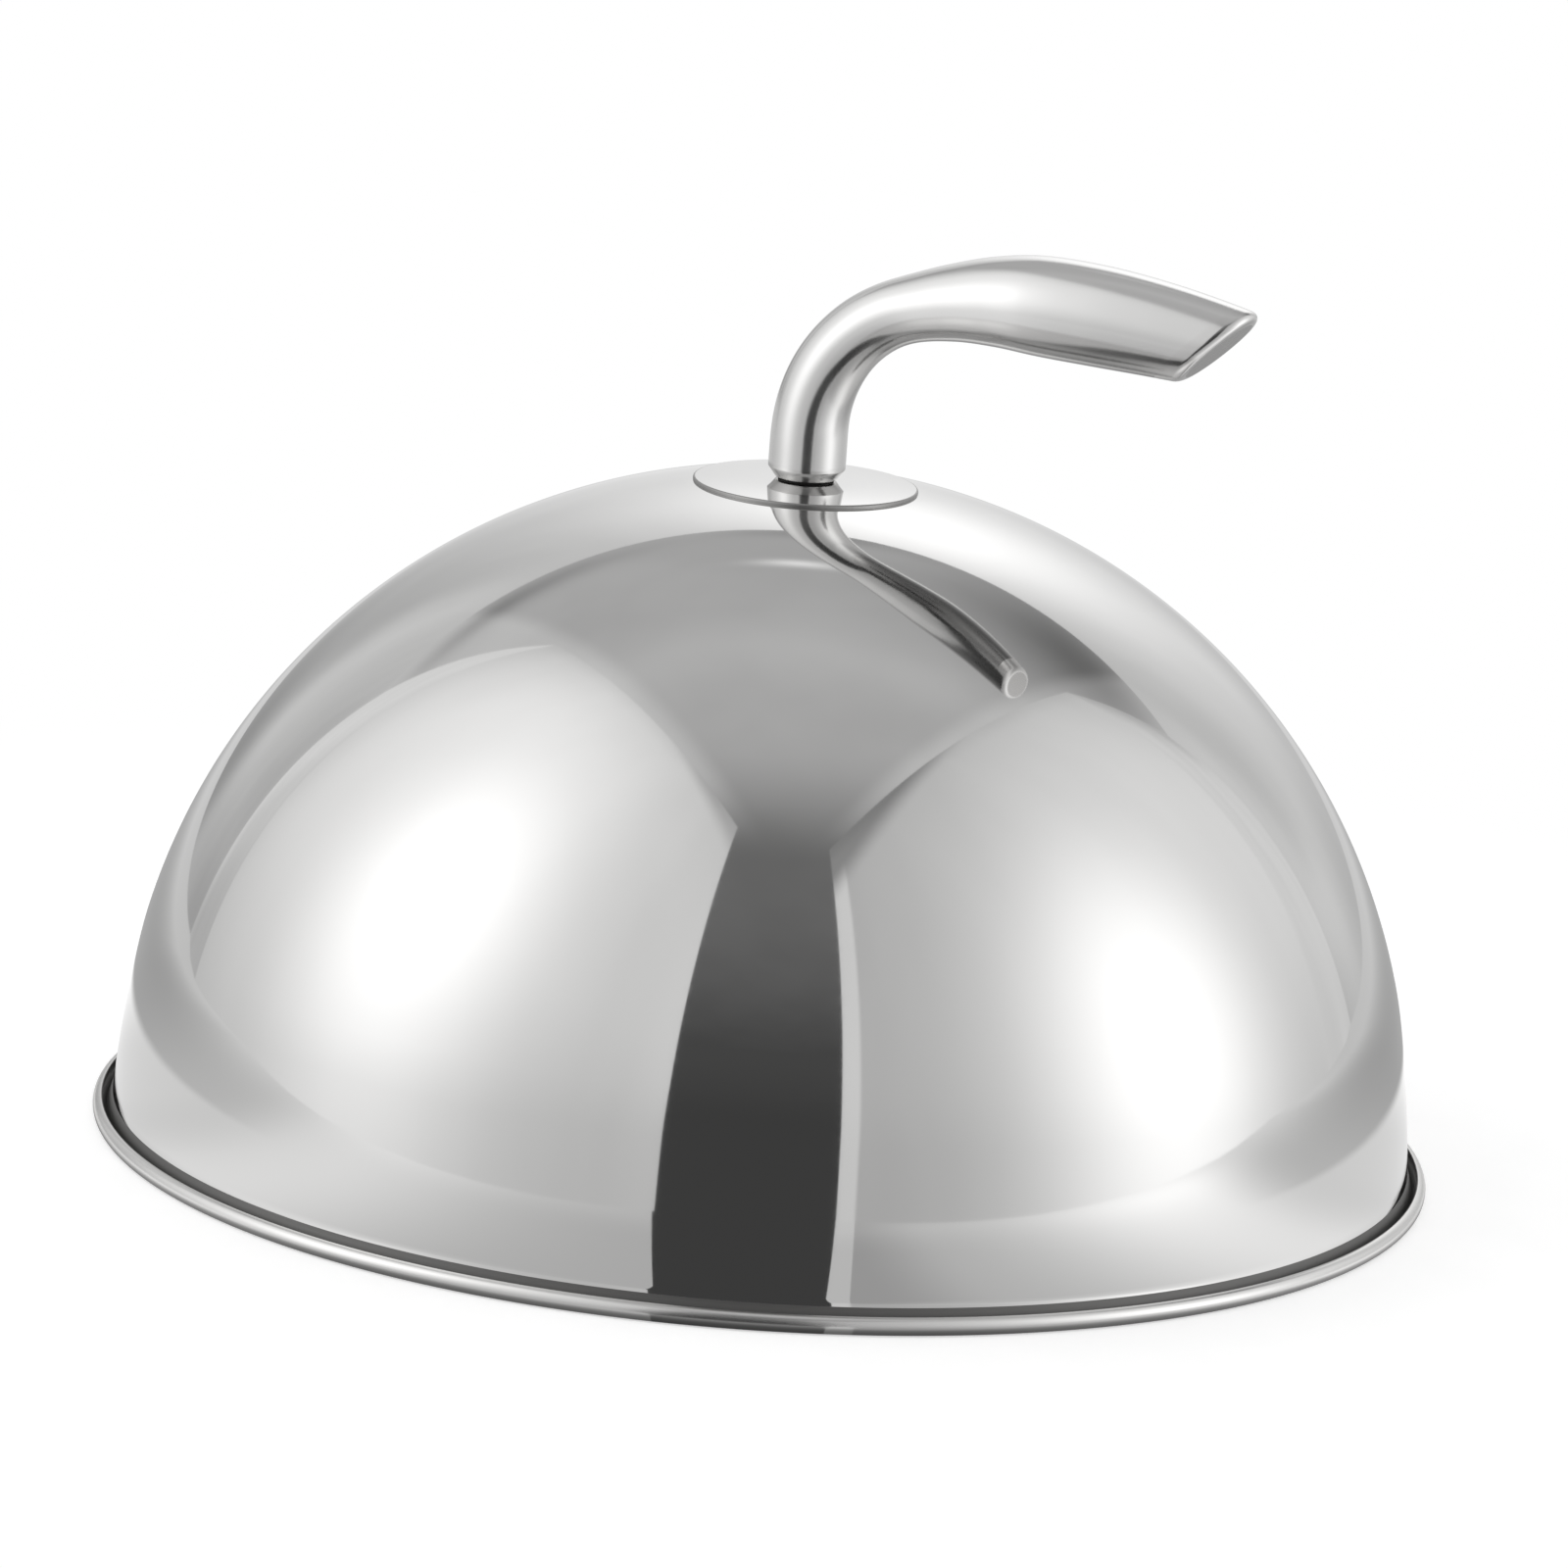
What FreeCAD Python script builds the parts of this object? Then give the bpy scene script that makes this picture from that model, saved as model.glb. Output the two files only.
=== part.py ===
import FreeCAD, Part

import math
import os

import Sketcher

# Domed food cover for a buffet dish, in millimetres.
# A spun steel dome stands on its rolled rim. A one-sided, horn-shaped hollow handle is held on a
# shallow plate at the crown by one screw from inside. The origin is the centre of the rim's
# resting plane, +Z is up, and the arm of the handle points along +X.

DRIVING_SIZES = {
    # dome
    "rim_radius": 150.0,
    "bead_radius": 2.0,
    "dome_sheet": 0.8,
    "rest_land_depth": 0.1,
    "flare_radius": 145.65,
    "flare_height": 4.0,
    "curl_lean": 25.83,
    "curl_end_angle": 140.0,
    "skirt_radius": 144.6,
    "skirt_height": 9.5,
    "dome_arc_radius": 143.2,
    "seat_radius": 25.6,
    "seat_height": 150.65,
    "seat_arc_radius": 162.5,
    "seat_edge_lean": 7.8,
    "land_radius": 9.0,
    "crown_height": 151.5,
    "screw_hole_radius": 3.2,
    "pin_hole_radius": 1.1,
    # plate and seals
    "plate_radius": 25.0,
    "plate_sheet": 0.8,
    "plate_drop": 0.79,
    "plate_arc_radius": 162.5,
    "foot_seal_radius": 6.3,
    "foot_seal_height": 0.8,
    "inner_seal_radius": 9.0,
    "inner_seal_height": 0.8,
    # foot of the handle
    "foot_bottom_radius": 6.4,
    "collar_height": 3.1,
    "collar_band": 0.5,
    "spigot_bottom_radius": 7.5,
    "spigot_top_radius": 7.0,
    "spigot_length": 9.8,
    "thread_radius": 3.0,
    # path of the handle
    "post_straight": 6.5,
    "bend_radius": 32.5,
    "bend_turn": 71.0,
    "crown_bend_radius": 98.4,
    "droop_radius": 340.0,
    "handle_wall": 1.2,
    "bore_overrun": 1.5,
    # cut end of the handle
    "end_reach": 99.4,
    "end_height": 196.0,
    "end_slant": 45.0,
    "end_cap_thickness": 4.2,
    "end_cap_round": 2.3,
    "cutter_size": 60.0,
    # fixings
    "pin_radius": 1.0,
    "pin_offset": 4.7,
    "pin_length": 8.0,
    "pin_chamfer": 0.2,
    "pin_recess": 0.1,
    "load_washer_radius": 9.0,
    "load_washer_height": 1.6,
    "load_washer_hole": 3.2,
    "spring_washer_radius": 5.6,
    "spring_washer_hole": 3.1,
    "spring_washer_height": 1.6,
    "spring_washer_slot": 1.0,
    "spring_washer_slant": 20.0,
    "spring_gap_start": 0.3,
    "shank_radius": 2.95,
    "shank_length": 18.0,
    "shank_chamfer": 0.7,
    "head_radius": 5.25,
    "head_height": 3.3,
    "head_crown_radius": 2.8,
    "head_edge": 0.6,
    "head_arc_radius": 3.9,
    "socket_corner_radius": 2.31,
    "socket_depth": 2.0,
}

# The horn's section radius at each station along its path: post, bend, crown and drooping arm.
POST_STATIONS = {"post_foot": 8.9, "post_top": 8.65}
BEND_STATIONS = {"bend_one": 8.15, "bend_two": 7.65, "bend_three": 7.5}
CROWN_STATIONS = {"crown_one": 8.5, "crown_two": 9.9, "crown_three": 11.0}
ARM_STATIONS = {"arm_one": 11.15, "arm_two": 10.5, "arm_three": 9.6, "arm_four": 8.6}
ARM_SPACING = 14.0

# An edge this near to a plane lies on it, and a cut this small removed nothing.
ON_FACE = 1e-3
LEAST_CUT = 1e-6

# A rotation of 0 degrees keeps no axis, so a tilted circle starts with at least this turn.
LEAST_TURN = 1.0

HEXAGON_SIDES = 6

# Heights of the stack on the dome's axis, from the crown of the sheet upwards and downwards.
PLATE_TOP = "(Sizes.crown_height + Sizes.plate_sheet)"
FOOT_LEVEL = f"({PLATE_TOP} + Sizes.foot_seal_height)"
COLLAR_TOP = f"({FOOT_LEVEL} + Sizes.collar_height)"
POST_TOP = f"({COLLAR_TOP} + Sizes.post_straight)"
CROWN_UNDERSIDE = "(Sizes.crown_height - Sizes.dome_sheet)"
SEAL_UNDERSIDE = f"({CROWN_UNDERSIDE} - Sizes.inner_seal_height)"
WASHER_UNDERSIDE = f"({SEAL_UNDERSIDE} - Sizes.load_washer_height)"
HEAD_LEVEL = f"({WASHER_UNDERSIDE} - Sizes.spring_washer_height)"

# How far the skirt leans in from upright, in degrees.
SKIRT_LEAN = (
    "(atan((Sizes.flare_radius - Sizes.skirt_radius)"
    " / (Sizes.skirt_height - Sizes.flare_height)) / 1 deg)"
)

doc = FreeCAD.newDocument("food_cover")
sizes = doc.addObject("Spreadsheet::Sheet", "Sizes")


def fill_sheet():
    """Write every driving size into the sheet as a named cell."""
    stations = {**POST_STATIONS, **BEND_STATIONS, **CROWN_STATIONS, **ARM_STATIONS}
    rows = {**DRIVING_SIZES, **{f"{name}_radius": r for name, r in stations.items()}}
    rows["arm_spacing"] = ARM_SPACING
    for row, (alias, value) in enumerate(rows.items(), start=1):
        sizes.set(f"A{row}", alias)
        sizes.set(f"B{row}", str(value))
        sizes.setAlias(f"B{row}", alias)
    doc.recompute()


def value_of(expression):
    """Give the present value of an expression on the sheet."""
    result = sizes.evalExpression(expression)
    return float(getattr(result, "Value", result))


def new_body(name):
    """Start the body of one piece, with the piece's name as its label."""
    body = doc.addObject("PartDesign::Body", name)
    body.Label = name
    return body


def plane_sketch(body, name, role="XZ_Plane"):
    """Start a sketch on one of the body's own origin planes."""
    plane = next(f for f in body.Origin.OriginFeatures if f.Role == role)
    sketch = body.newObject("Sketcher::SketchObject", name)
    sketch.AttachmentSupport = [(plane, "")]
    sketch.MapMode = "FlatFace"
    return sketch


def bind(sketch, kind, elements, expression, name):
    """Add one dimension and bind it to the sheet."""
    index = sketch.addConstraint(Sketcher.Constraint(kind, *elements, value_of(expression)))
    sketch.renameConstraint(index, name)
    sketch.setExpression(f"Constraints.{name}", expression)


def arc_between(start, end, radius, turn, long_way):
    """Give the arc from start to end; turn is 1 for anticlockwise, -1 for clockwise."""
    chord = end - start
    half = chord.Length / 2
    rise = math.sqrt(max(radius**2 - half**2, 0.0))
    left = FreeCAD.Vector(-chord.y, chord.x, 0).normalize()
    side = -turn if long_way else turn
    centre = (start + end) * 0.5 + left * rise * side
    first, last = (start, end) if turn > 0 else (end, start)
    angles = [math.atan2(p.y - centre.y, p.x - centre.x) for p in (first, last)]
    if angles[1] <= angles[0]:
        angles[1] += 2 * math.pi
    circle = Part.Circle(centre, FreeCAD.Vector(0, 0, 1), radius)
    return Part.ArcOfCircle(circle, angles[0], angles[1])


def draw_profile(sketch, corners, arcs=None):
    """Draw a closed outline.

    corners holds (across, up) expressions in order. arcs maps the number of a corner to
    (radius, turn, long_way) where the side that leaves it is an arc and not a line.
    """
    arcs = arcs or {}
    points = [FreeCAD.Vector(value_of(x), value_of(y), 0) for x, y in corners]
    ends = []
    for number, start in enumerate(points):
        end = points[(number + 1) % len(points)]
        if number in arcs:
            radius, turn, long_way = arcs[number]
            side = sketch.addGeometry(
                arc_between(start, end, value_of(radius), turn, long_way), False
            )
            ends.append((side, 1, 2) if turn > 0 else (side, 2, 1))
            bind(sketch, "Radius", (side,), radius, f"arc_{number}")
        else:
            side = sketch.addGeometry(Part.LineSegment(start, end), False)
            ends.append((side, 1, 2))
    for number, (side, _, last) in enumerate(ends):
        following, first, _ = ends[(number + 1) % len(ends)]
        sketch.addConstraint(Sketcher.Constraint("Coincident", side, last, following, first))
    for number, (across, up) in enumerate(corners):
        side, first, _ = ends[number]
        if across == "0":
            sketch.addConstraint(Sketcher.Constraint("PointOnObject", side, first, -2))
        else:
            bind(sketch, "DistanceX", (-1, 1, side, first), across, f"across_{number}")
        if up == "0":
            sketch.addConstraint(Sketcher.Constraint("PointOnObject", side, first, -1))
        else:
            bind(sketch, "DistanceY", (-1, 1, side, first), up, f"up_{number}")


def draw_circle(sketch, radius, across="0", name="circle"):
    """Draw a circle on the sketch's horizontal axis."""
    centre = FreeCAD.Vector(value_of(across), 0, 0)
    circle = Part.Circle(centre, FreeCAD.Vector(0, 0, 1), value_of(radius))
    index = sketch.addGeometry(circle, False)
    bind(sketch, "Radius", (index,), radius, f"{name}_radius")
    if across == "0":
        sketch.addConstraint(Sketcher.Constraint("Coincident", index, 3, -1, 1))
    else:
        sketch.addConstraint(Sketcher.Constraint("PointOnObject", index, 3, -1))
        bind(sketch, "DistanceX", (index, 3, -1, 1), f"-({across})", f"{name}_across")


def revolve(body, sketch, name):
    """Turn a sketch on the XZ plane about the dome's axis."""
    turned = body.newObject("PartDesign::Revolution", name)
    turned.Profile = sketch
    turned.ReferenceAxis = (sketch, ["V_Axis"])
    turned.Angle = 360
    doc.recompute()
    return turned


def pocket_both_ways(body, sketch, name):
    """Cut a sketch right through the body, and check that it cut something."""
    before = body.Shape.Volume
    pocket = body.newObject("PartDesign::Pocket", name)
    pocket.Profile = sketch
    pocket.SideType = "Symmetric"
    pocket.Type = "ThroughAll"
    doc.recompute()
    if body.Shape.Volume >= before - LEAST_CUT:
        raise RuntimeError(f"{name} cut nothing")
    return pocket


def blind_pocket(body, sketch, name, depth, reverse=False):
    """Cut a sketch to a depth, and check that it cut something."""
    before = body.Shape.Volume
    pocket = body.newObject("PartDesign::Pocket", name)
    pocket.Profile = sketch
    pocket.setExpression("Length", depth)
    pocket.Reversed = reverse
    doc.recompute()
    if body.Shape.Volume >= before - LEAST_CUT:
        raise RuntimeError(f"{name} cut nothing")
    return pocket


def pin_hole(body, radius, name):
    """Cut the locating pin's hole, on the side away from the arm."""
    sketch = plane_sketch(body, f"{name}_sketch", "XY_Plane")
    draw_circle(sketch, radius, "-Sizes.pin_offset", "pin")
    return pocket_both_ways(body, sketch, name)


def turned_ring(name, outer, inner, height, level):
    """Make a flat ring from its radii and height, standing at a level on the axis."""
    body = new_body(name)
    sketch = plane_sketch(body, f"{name}_section")
    draw_profile(sketch, [(inner, "0"), (outer, "0"), (outer, height), (inner, height)])
    revolve(body, sketch, f"{name}_ring")
    body.setExpression("Placement.Base.z", level)
    return body


def polar(centre, radius, angle):
    """Give a corner at a polar angle from a centre, as two expressions."""
    across, up = centre
    return (
        f"{across} + {radius} * cos(({angle}) * 1 deg)",
        f"{up} + {radius} * sin(({angle}) * 1 deg)",
    )


def inner_corner(corner, lean_below, lean_above):
    """Give the inner corner of the sheet opposite an outer corner between two leaning walls."""
    across, up = corner
    lean = f"(({lean_below} + {lean_above}) / 2)"
    mitre = f"(Sizes.dome_sheet / cos(({lean_below} - {lean_above}) / 2 * 1 deg))"
    return (
        f"{across} - {mitre} * cos({lean} * 1 deg)",
        f"{up} - {mitre} * sin({lean} * 1 deg)",
    )


def make_dome_shell():
    """Spin the dome: flared skirt, rolled rim, shallow seat, screw hole and pin hole."""
    curl_centre = (
        "(Sizes.rim_radius - Sizes.bead_radius)",
        "(Sizes.bead_radius - Sizes.rest_land_depth)",
    )
    outer_curl = "Sizes.bead_radius"
    inner_curl = "(Sizes.bead_radius - Sizes.dome_sheet)"
    start_angle = "180 + Sizes.curl_lean"
    land_half = (
        "sqrt(Sizes.bead_radius ^ 2 - (Sizes.bead_radius - Sizes.rest_land_depth) ^ 2)"
    )
    knee = ("Sizes.flare_radius", "Sizes.flare_height")
    skirt = ("Sizes.skirt_radius", "Sizes.skirt_height")
    seat = ("Sizes.seat_radius", "Sizes.seat_height")
    seat_lean = "(90 - Sizes.seat_edge_lean)"
    corners = [
        ("Sizes.screw_hole_radius", "Sizes.crown_height"),
        ("Sizes.screw_hole_radius", CROWN_UNDERSIDE),
        ("Sizes.land_radius", CROWN_UNDERSIDE),
        inner_corner(seat, seat_lean, seat_lean),
        inner_corner(skirt, SKIRT_LEAN, "0"),
        inner_corner(knee, "Sizes.curl_lean", SKIRT_LEAN),
        polar(curl_centre, outer_curl, start_angle),
        (f"{curl_centre[0]} - {land_half}", "0"),
        (f"{curl_centre[0]} + {land_half}", "0"),
        polar(curl_centre, outer_curl, "Sizes.curl_end_angle"),
        polar(curl_centre, inner_curl, "Sizes.curl_end_angle"),
        polar(curl_centre, inner_curl, start_angle),
        knee,
        skirt,
        seat,
        ("Sizes.land_radius", "Sizes.crown_height"),
    ]
    arcs = {
        2: ("Sizes.seat_arc_radius - Sizes.dome_sheet", -1, False),
        3: ("Sizes.dome_arc_radius - Sizes.dome_sheet", -1, False),
        6: (outer_curl, 1, False),
        8: (outer_curl, 1, True),
        10: (inner_curl, -1, True),
        13: ("Sizes.dome_arc_radius", 1, False),
        14: ("Sizes.seat_arc_radius", 1, False),
    }
    body = new_body("dome_shell")
    sketch = plane_sketch(body, "dome_section")
    draw_profile(sketch, corners, arcs)
    revolve(body, sketch, "spun_dome")
    pin_hole(body, "Sizes.pin_hole_radius", "dome_pin_hole")
    return body


def make_crown_plate():
    """Press the thin dished plate that spreads the handle's load over the crown."""
    body = new_body("crown_plate")
    sketch = plane_sketch(body, "plate_section")
    edge_bottom = "Sizes.crown_height - Sizes.plate_drop"
    corners = [
        ("Sizes.screw_hole_radius", "Sizes.crown_height"),
        ("Sizes.land_radius", "Sizes.crown_height"),
        ("Sizes.plate_radius", edge_bottom),
        ("Sizes.plate_radius", f"{edge_bottom} + Sizes.plate_sheet"),
        ("Sizes.land_radius", PLATE_TOP),
        ("Sizes.screw_hole_radius", PLATE_TOP),
    ]
    arcs = {
        1: ("Sizes.plate_arc_radius", -1, False),
        3: ("Sizes.plate_arc_radius", 1, False),
    }
    draw_profile(sketch, corners, arcs)
    revolve(body, sketch, "pressed_plate")
    pin_hole(body, "Sizes.pin_hole_radius", "plate_pin_hole")
    return body


def make_foot_seal():
    """Make the dark rubber ring between the plate and the handle's foot."""
    body = turned_ring(
        "foot_seal",
        "Sizes.foot_seal_radius",
        "Sizes.screw_hole_radius",
        "Sizes.foot_seal_height",
        PLATE_TOP,
    )
    pin_hole(body, "Sizes.pin_hole_radius", "foot_seal_pin_hole")
    return body


def make_handle_foot():
    """Turn the chamfered foot with the spigot that closes the post and takes the screw."""
    top = "Sizes.collar_height + Sizes.spigot_length"
    corners = [
        ("Sizes.thread_radius", "0"),
        ("Sizes.foot_bottom_radius", "0"),
        ("Sizes.post_foot_radius", "Sizes.collar_height - Sizes.collar_band"),
        ("Sizes.post_foot_radius", "Sizes.collar_height"),
        ("Sizes.spigot_bottom_radius", "Sizes.collar_height"),
        ("Sizes.spigot_top_radius", top),
        ("Sizes.thread_radius", top),
    ]
    body = new_body("handle_foot")
    sketch = plane_sketch(body, "foot_section")
    draw_profile(sketch, corners)
    revolve(body, sketch, "turned_foot")
    socket = plane_sketch(body, "foot_pin_sketch", "XY_Plane")
    draw_circle(socket, "Sizes.pin_radius", "-Sizes.pin_offset", "pin")
    depth = (
        "Sizes.pin_length + Sizes.pin_recess - Sizes.dome_sheet"
        " - Sizes.plate_sheet - Sizes.foot_seal_height"
    )
    blind_pocket(body, socket, "foot_pin_socket", depth, reverse=True)
    body.setExpression("Placement.Base.z", FOOT_LEVEL)
    return body


def horn_stations():
    """Give each station of the handle as its name and its reach, height and tilt expressions."""
    found = [
        ("post_foot", "0", COLLAR_TOP, "0"),
        ("post_top", "0", POST_TOP, "0"),
    ]
    for step, name in enumerate(BEND_STATIONS, start=1):
        tilt = f"(Sizes.bend_turn * {step} / {len(BEND_STATIONS)})"
        reach = f"Sizes.bend_radius * (1 - cos({tilt} * 1 deg))"
        height = f"{POST_TOP} + Sizes.bend_radius * sin({tilt} * 1 deg)"
        found.append((name, reach, height, tilt))
    bend_reach = "Sizes.bend_radius * (1 - cos(Sizes.bend_turn * 1 deg))"
    bend_height = f"{POST_TOP} + Sizes.bend_radius * sin(Sizes.bend_turn * 1 deg)"

    def crown_place(tilt):
        reach = (
            f"{bend_reach} + Sizes.crown_bend_radius"
            f" * (cos(Sizes.bend_turn * 1 deg) - cos({tilt} * 1 deg))"
        )
        height = (
            f"{bend_height} + Sizes.crown_bend_radius"
            f" * (sin({tilt} * 1 deg) - sin(Sizes.bend_turn * 1 deg))"
        )
        return reach, height

    for step, name in enumerate(CROWN_STATIONS, start=1):
        share = f"{step} / {len(CROWN_STATIONS)}"
        tilt = f"(Sizes.bend_turn + (90 - Sizes.bend_turn) * {share})"
        found.append((name, *crown_place(tilt), tilt))
    top_reach, top_height = crown_place("90")
    for step, name in enumerate(ARM_STATIONS, start=1):
        droop = f"(Sizes.arm_spacing * {step} / Sizes.droop_radius * 180 / pi)"
        reach = f"{top_reach} + Sizes.droop_radius * sin({droop} * 1 deg)"
        height = f"{top_height} - Sizes.droop_radius * (1 - cos({droop} * 1 deg))"
        found.append((name, reach, height, f"(90 + {droop})"))
    return found


def make_horn(name, inset, start_drop="0"):
    """Loft a solid horn through one circle at each station, drawn in by an inset."""
    circles = []
    for station, reach, height, tilt in horn_stations():
        circle = doc.addObject("Part::Circle", f"{name}_{station}")
        circle.setExpression("Radius", f"Sizes.{station}_radius - {inset}")
        first_turn = max(value_of(tilt), LEAST_TURN)
        turn = FreeCAD.Rotation(FreeCAD.Vector(0, 1, 0), first_turn)
        circle.Placement = FreeCAD.Placement(FreeCAD.Vector(), turn)
        drop = start_drop if station == "post_foot" else "0"
        circle.setExpression("Placement.Base.x", reach)
        circle.setExpression("Placement.Base.z", f"{height} - {drop}")
        circle.setExpression("Placement.Rotation.Angle", tilt)
        circles.append(circle)
    horn = doc.addObject("Part::Loft", name)
    horn.Sections = circles
    horn.Solid = True
    horn.Ruled = False
    doc.recompute()
    return horn


def end_cutter(name, back_off, thickness=None):
    """Make a block whose near face is parallel to the slanted end, a distance behind it."""
    block = doc.addObject("Part::Box", name)
    block.setExpression("Length", "Sizes.cutter_size")
    block.setExpression("Width", "Sizes.cutter_size")
    block.setExpression("Height", thickness or "Sizes.cutter_size")
    # The block's height runs along the outward normal of the slanted end.
    turn = FreeCAD.Rotation(FreeCAD.Vector(0, 1, 0), 180 - value_of("Sizes.end_slant"))
    block.Placement = FreeCAD.Placement(FreeCAD.Vector(), turn)
    along = "(Sizes.cutter_size / 2)"
    slant = "(Sizes.end_slant * 1 deg)"
    block.setExpression("Placement.Rotation.Angle", "180 - Sizes.end_slant")
    block.setExpression(
        "Placement.Base.x",
        f"Sizes.end_reach + {along} * cos({slant}) - {back_off} * sin({slant})",
    )
    block.setExpression("Placement.Base.y", "-Sizes.cutter_size / 2")
    block.setExpression(
        "Placement.Base.z",
        f"Sizes.end_height + {along} * sin({slant}) + {back_off} * cos({slant})",
    )
    doc.recompute()
    return block


def boolean(kind, name, base, tool):
    """Combine two objects with a Part boolean."""
    result = doc.addObject(f"Part::{kind}", name)
    result.Base = base
    result.Tool = tool
    doc.recompute()
    return result


def make_handle_shell():
    """Make the hollow horn, open at its foot and at its slanted end."""
    horn = make_horn("horn_outside", "0")
    bore = make_horn("horn_bore", "Sizes.handle_wall", "Sizes.bore_overrun")
    hollow = boolean("Cut", "horn_hollow", horn, bore)
    cutter = end_cutter("shell_end_cutter", "Sizes.end_cap_thickness")
    shell = boolean("Cut", "handle_shell", hollow, cutter)
    shell.Label = "handle_shell"
    return shell


def make_handle_end_cap():
    """Make the oval cap on the slanted end, with a rounded lip."""
    horn = make_horn("cap_horn", "0")
    slab = end_cutter("cap_slab", "Sizes.end_cap_thickness", "Sizes.end_cap_thickness")
    blank = boolean("Common", "cap_blank", horn, slab)
    slant = math.radians(value_of("Sizes.end_slant"))
    outward = FreeCAD.Vector(math.sin(slant), 0, -math.cos(slant))
    face_point = FreeCAD.Vector(value_of("Sizes.end_reach"), 0, value_of("Sizes.end_height"))
    lip_radius = value_of("Sizes.end_cap_round")
    lip = doc.addObject("Part::Fillet", "handle_end_cap")
    lip.Label = "handle_end_cap"
    lip.Base = blank
    lip.Edges = [
        (number, lip_radius, lip_radius)
        for number, edge in enumerate(blank.Shape.Edges, start=1)
        if all(
            abs((edge.valueAt(place) - face_point).dot(outward)) < ON_FACE
            for place in (edge.FirstParameter, (edge.FirstParameter + edge.LastParameter) / 2)
        )
    ]
    doc.recompute()
    return lip


def make_locating_pin():
    """Make the pin that stops the one-sided handle from turning on its screw."""
    body = new_body("locating_pin")
    sketch = plane_sketch(body, "pin_section")
    small = "Sizes.pin_radius - Sizes.pin_chamfer"
    corners = [
        ("0", "0"),
        (small, "0"),
        ("Sizes.pin_radius", "Sizes.pin_chamfer"),
        ("Sizes.pin_radius", "Sizes.pin_length - Sizes.pin_chamfer"),
        (small, "Sizes.pin_length"),
        ("0", "Sizes.pin_length"),
    ]
    draw_profile(sketch, corners)
    revolve(body, sketch, "turned_pin")
    body.setExpression("Placement.Base.x", "-Sizes.pin_offset")
    body.setExpression("Placement.Base.z", f"{CROWN_UNDERSIDE} + Sizes.pin_recess")
    return body


def make_inner_seal():
    """Make the soft ring that seals the screw hole under the crown."""
    return turned_ring(
        "inner_seal",
        "Sizes.inner_seal_radius",
        "Sizes.screw_hole_radius",
        "Sizes.inner_seal_height",
        SEAL_UNDERSIDE,
    )


def make_load_washer():
    """Make the large washer that spreads the screw's load."""
    return turned_ring(
        "load_washer",
        "Sizes.load_washer_radius",
        "Sizes.load_washer_hole",
        "Sizes.load_washer_height",
        WASHER_UNDERSIDE,
    )


def make_spring_washer():
    """Make the split spring washer, pressed flat, with its slanted gap."""
    body = turned_ring(
        "spring_washer",
        "Sizes.spring_washer_radius",
        "Sizes.spring_washer_hole",
        "Sizes.spring_washer_height",
        HEAD_LEVEL,
    )
    sketch = plane_sketch(body, "spring_gap_sketch", "XZ_Plane")
    shift = "(Sizes.spring_washer_height * tan(Sizes.spring_washer_slant * 1 deg))"
    start = "Sizes.spring_gap_start"
    corners = [
        (start, "0"),
        (f"{start} + Sizes.spring_washer_slot", "0"),
        (f"{start} + Sizes.spring_washer_slot + {shift}", "Sizes.spring_washer_height"),
        (f"{start} + {shift}", "Sizes.spring_washer_height"),
    ]
    draw_profile(sketch, corners)
    before = body.Shape.Volume
    gap = body.newObject("PartDesign::Pocket", "spring_gap")
    gap.Profile = sketch
    gap.Type = "ThroughAll"
    doc.recompute()
    if body.Shape.Volume >= before - LEAST_CUT:
        raise RuntimeError("the spring washer's gap cut nothing")
    return body


def make_fixing_screw():
    """Make the button-head screw that holds the handle from inside the dome."""
    head = "Sizes.head_height"
    corners = [
        ("0", "0"),
        ("Sizes.head_crown_radius", "0"),
        ("Sizes.head_radius", f"{head} - Sizes.head_edge"),
        ("Sizes.head_radius", head),
        ("Sizes.shank_radius", head),
        ("Sizes.shank_radius", f"{head} + Sizes.shank_length - Sizes.shank_chamfer"),
        ("Sizes.shank_radius - Sizes.shank_chamfer", f"{head} + Sizes.shank_length"),
        ("0", f"{head} + Sizes.shank_length"),
    ]
    body = new_body("fixing_screw")
    sketch = plane_sketch(body, "screw_section")
    draw_profile(sketch, corners, {1: ("Sizes.head_arc_radius", 1, False)})
    revolve(body, sketch, "turned_screw")
    socket = plane_sketch(body, "socket_sketch", "XY_Plane")
    radius = "Sizes.socket_corner_radius"
    points = []
    for corner in range(HEXAGON_SIDES):
        angle = math.tau * corner / HEXAGON_SIDES
        points.append(FreeCAD.Vector(math.cos(angle), math.sin(angle), 0) * value_of(radius))
    for corner, start in enumerate(points):
        end = points[(corner + 1) % HEXAGON_SIDES]
        socket.addGeometry(Part.LineSegment(start, end), False)
    guide = socket.addGeometry(
        Part.Circle(FreeCAD.Vector(), FreeCAD.Vector(0, 0, 1), value_of(radius)), True
    )
    socket.addConstraint(Sketcher.Constraint("Coincident", guide, 3, -1, 1))
    for corner in range(HEXAGON_SIDES):
        following = (corner + 1) % HEXAGON_SIDES
        socket.addConstraint(Sketcher.Constraint("Coincident", corner, 2, following, 1))
        socket.addConstraint(Sketcher.Constraint("PointOnObject", corner, 1, guide))
        if corner:
            socket.addConstraint(Sketcher.Constraint("Equal", 0, corner))
    socket.addConstraint(Sketcher.Constraint("PointOnObject", 0, 1, -1))
    bind(socket, "Radius", (guide,), radius, "corner_radius")
    blind_pocket(body, socket, "head_socket", "Sizes.socket_depth", reverse=True)
    body.setExpression("Placement.Base.z", f"{HEAD_LEVEL} - {head}")
    return body


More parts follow.
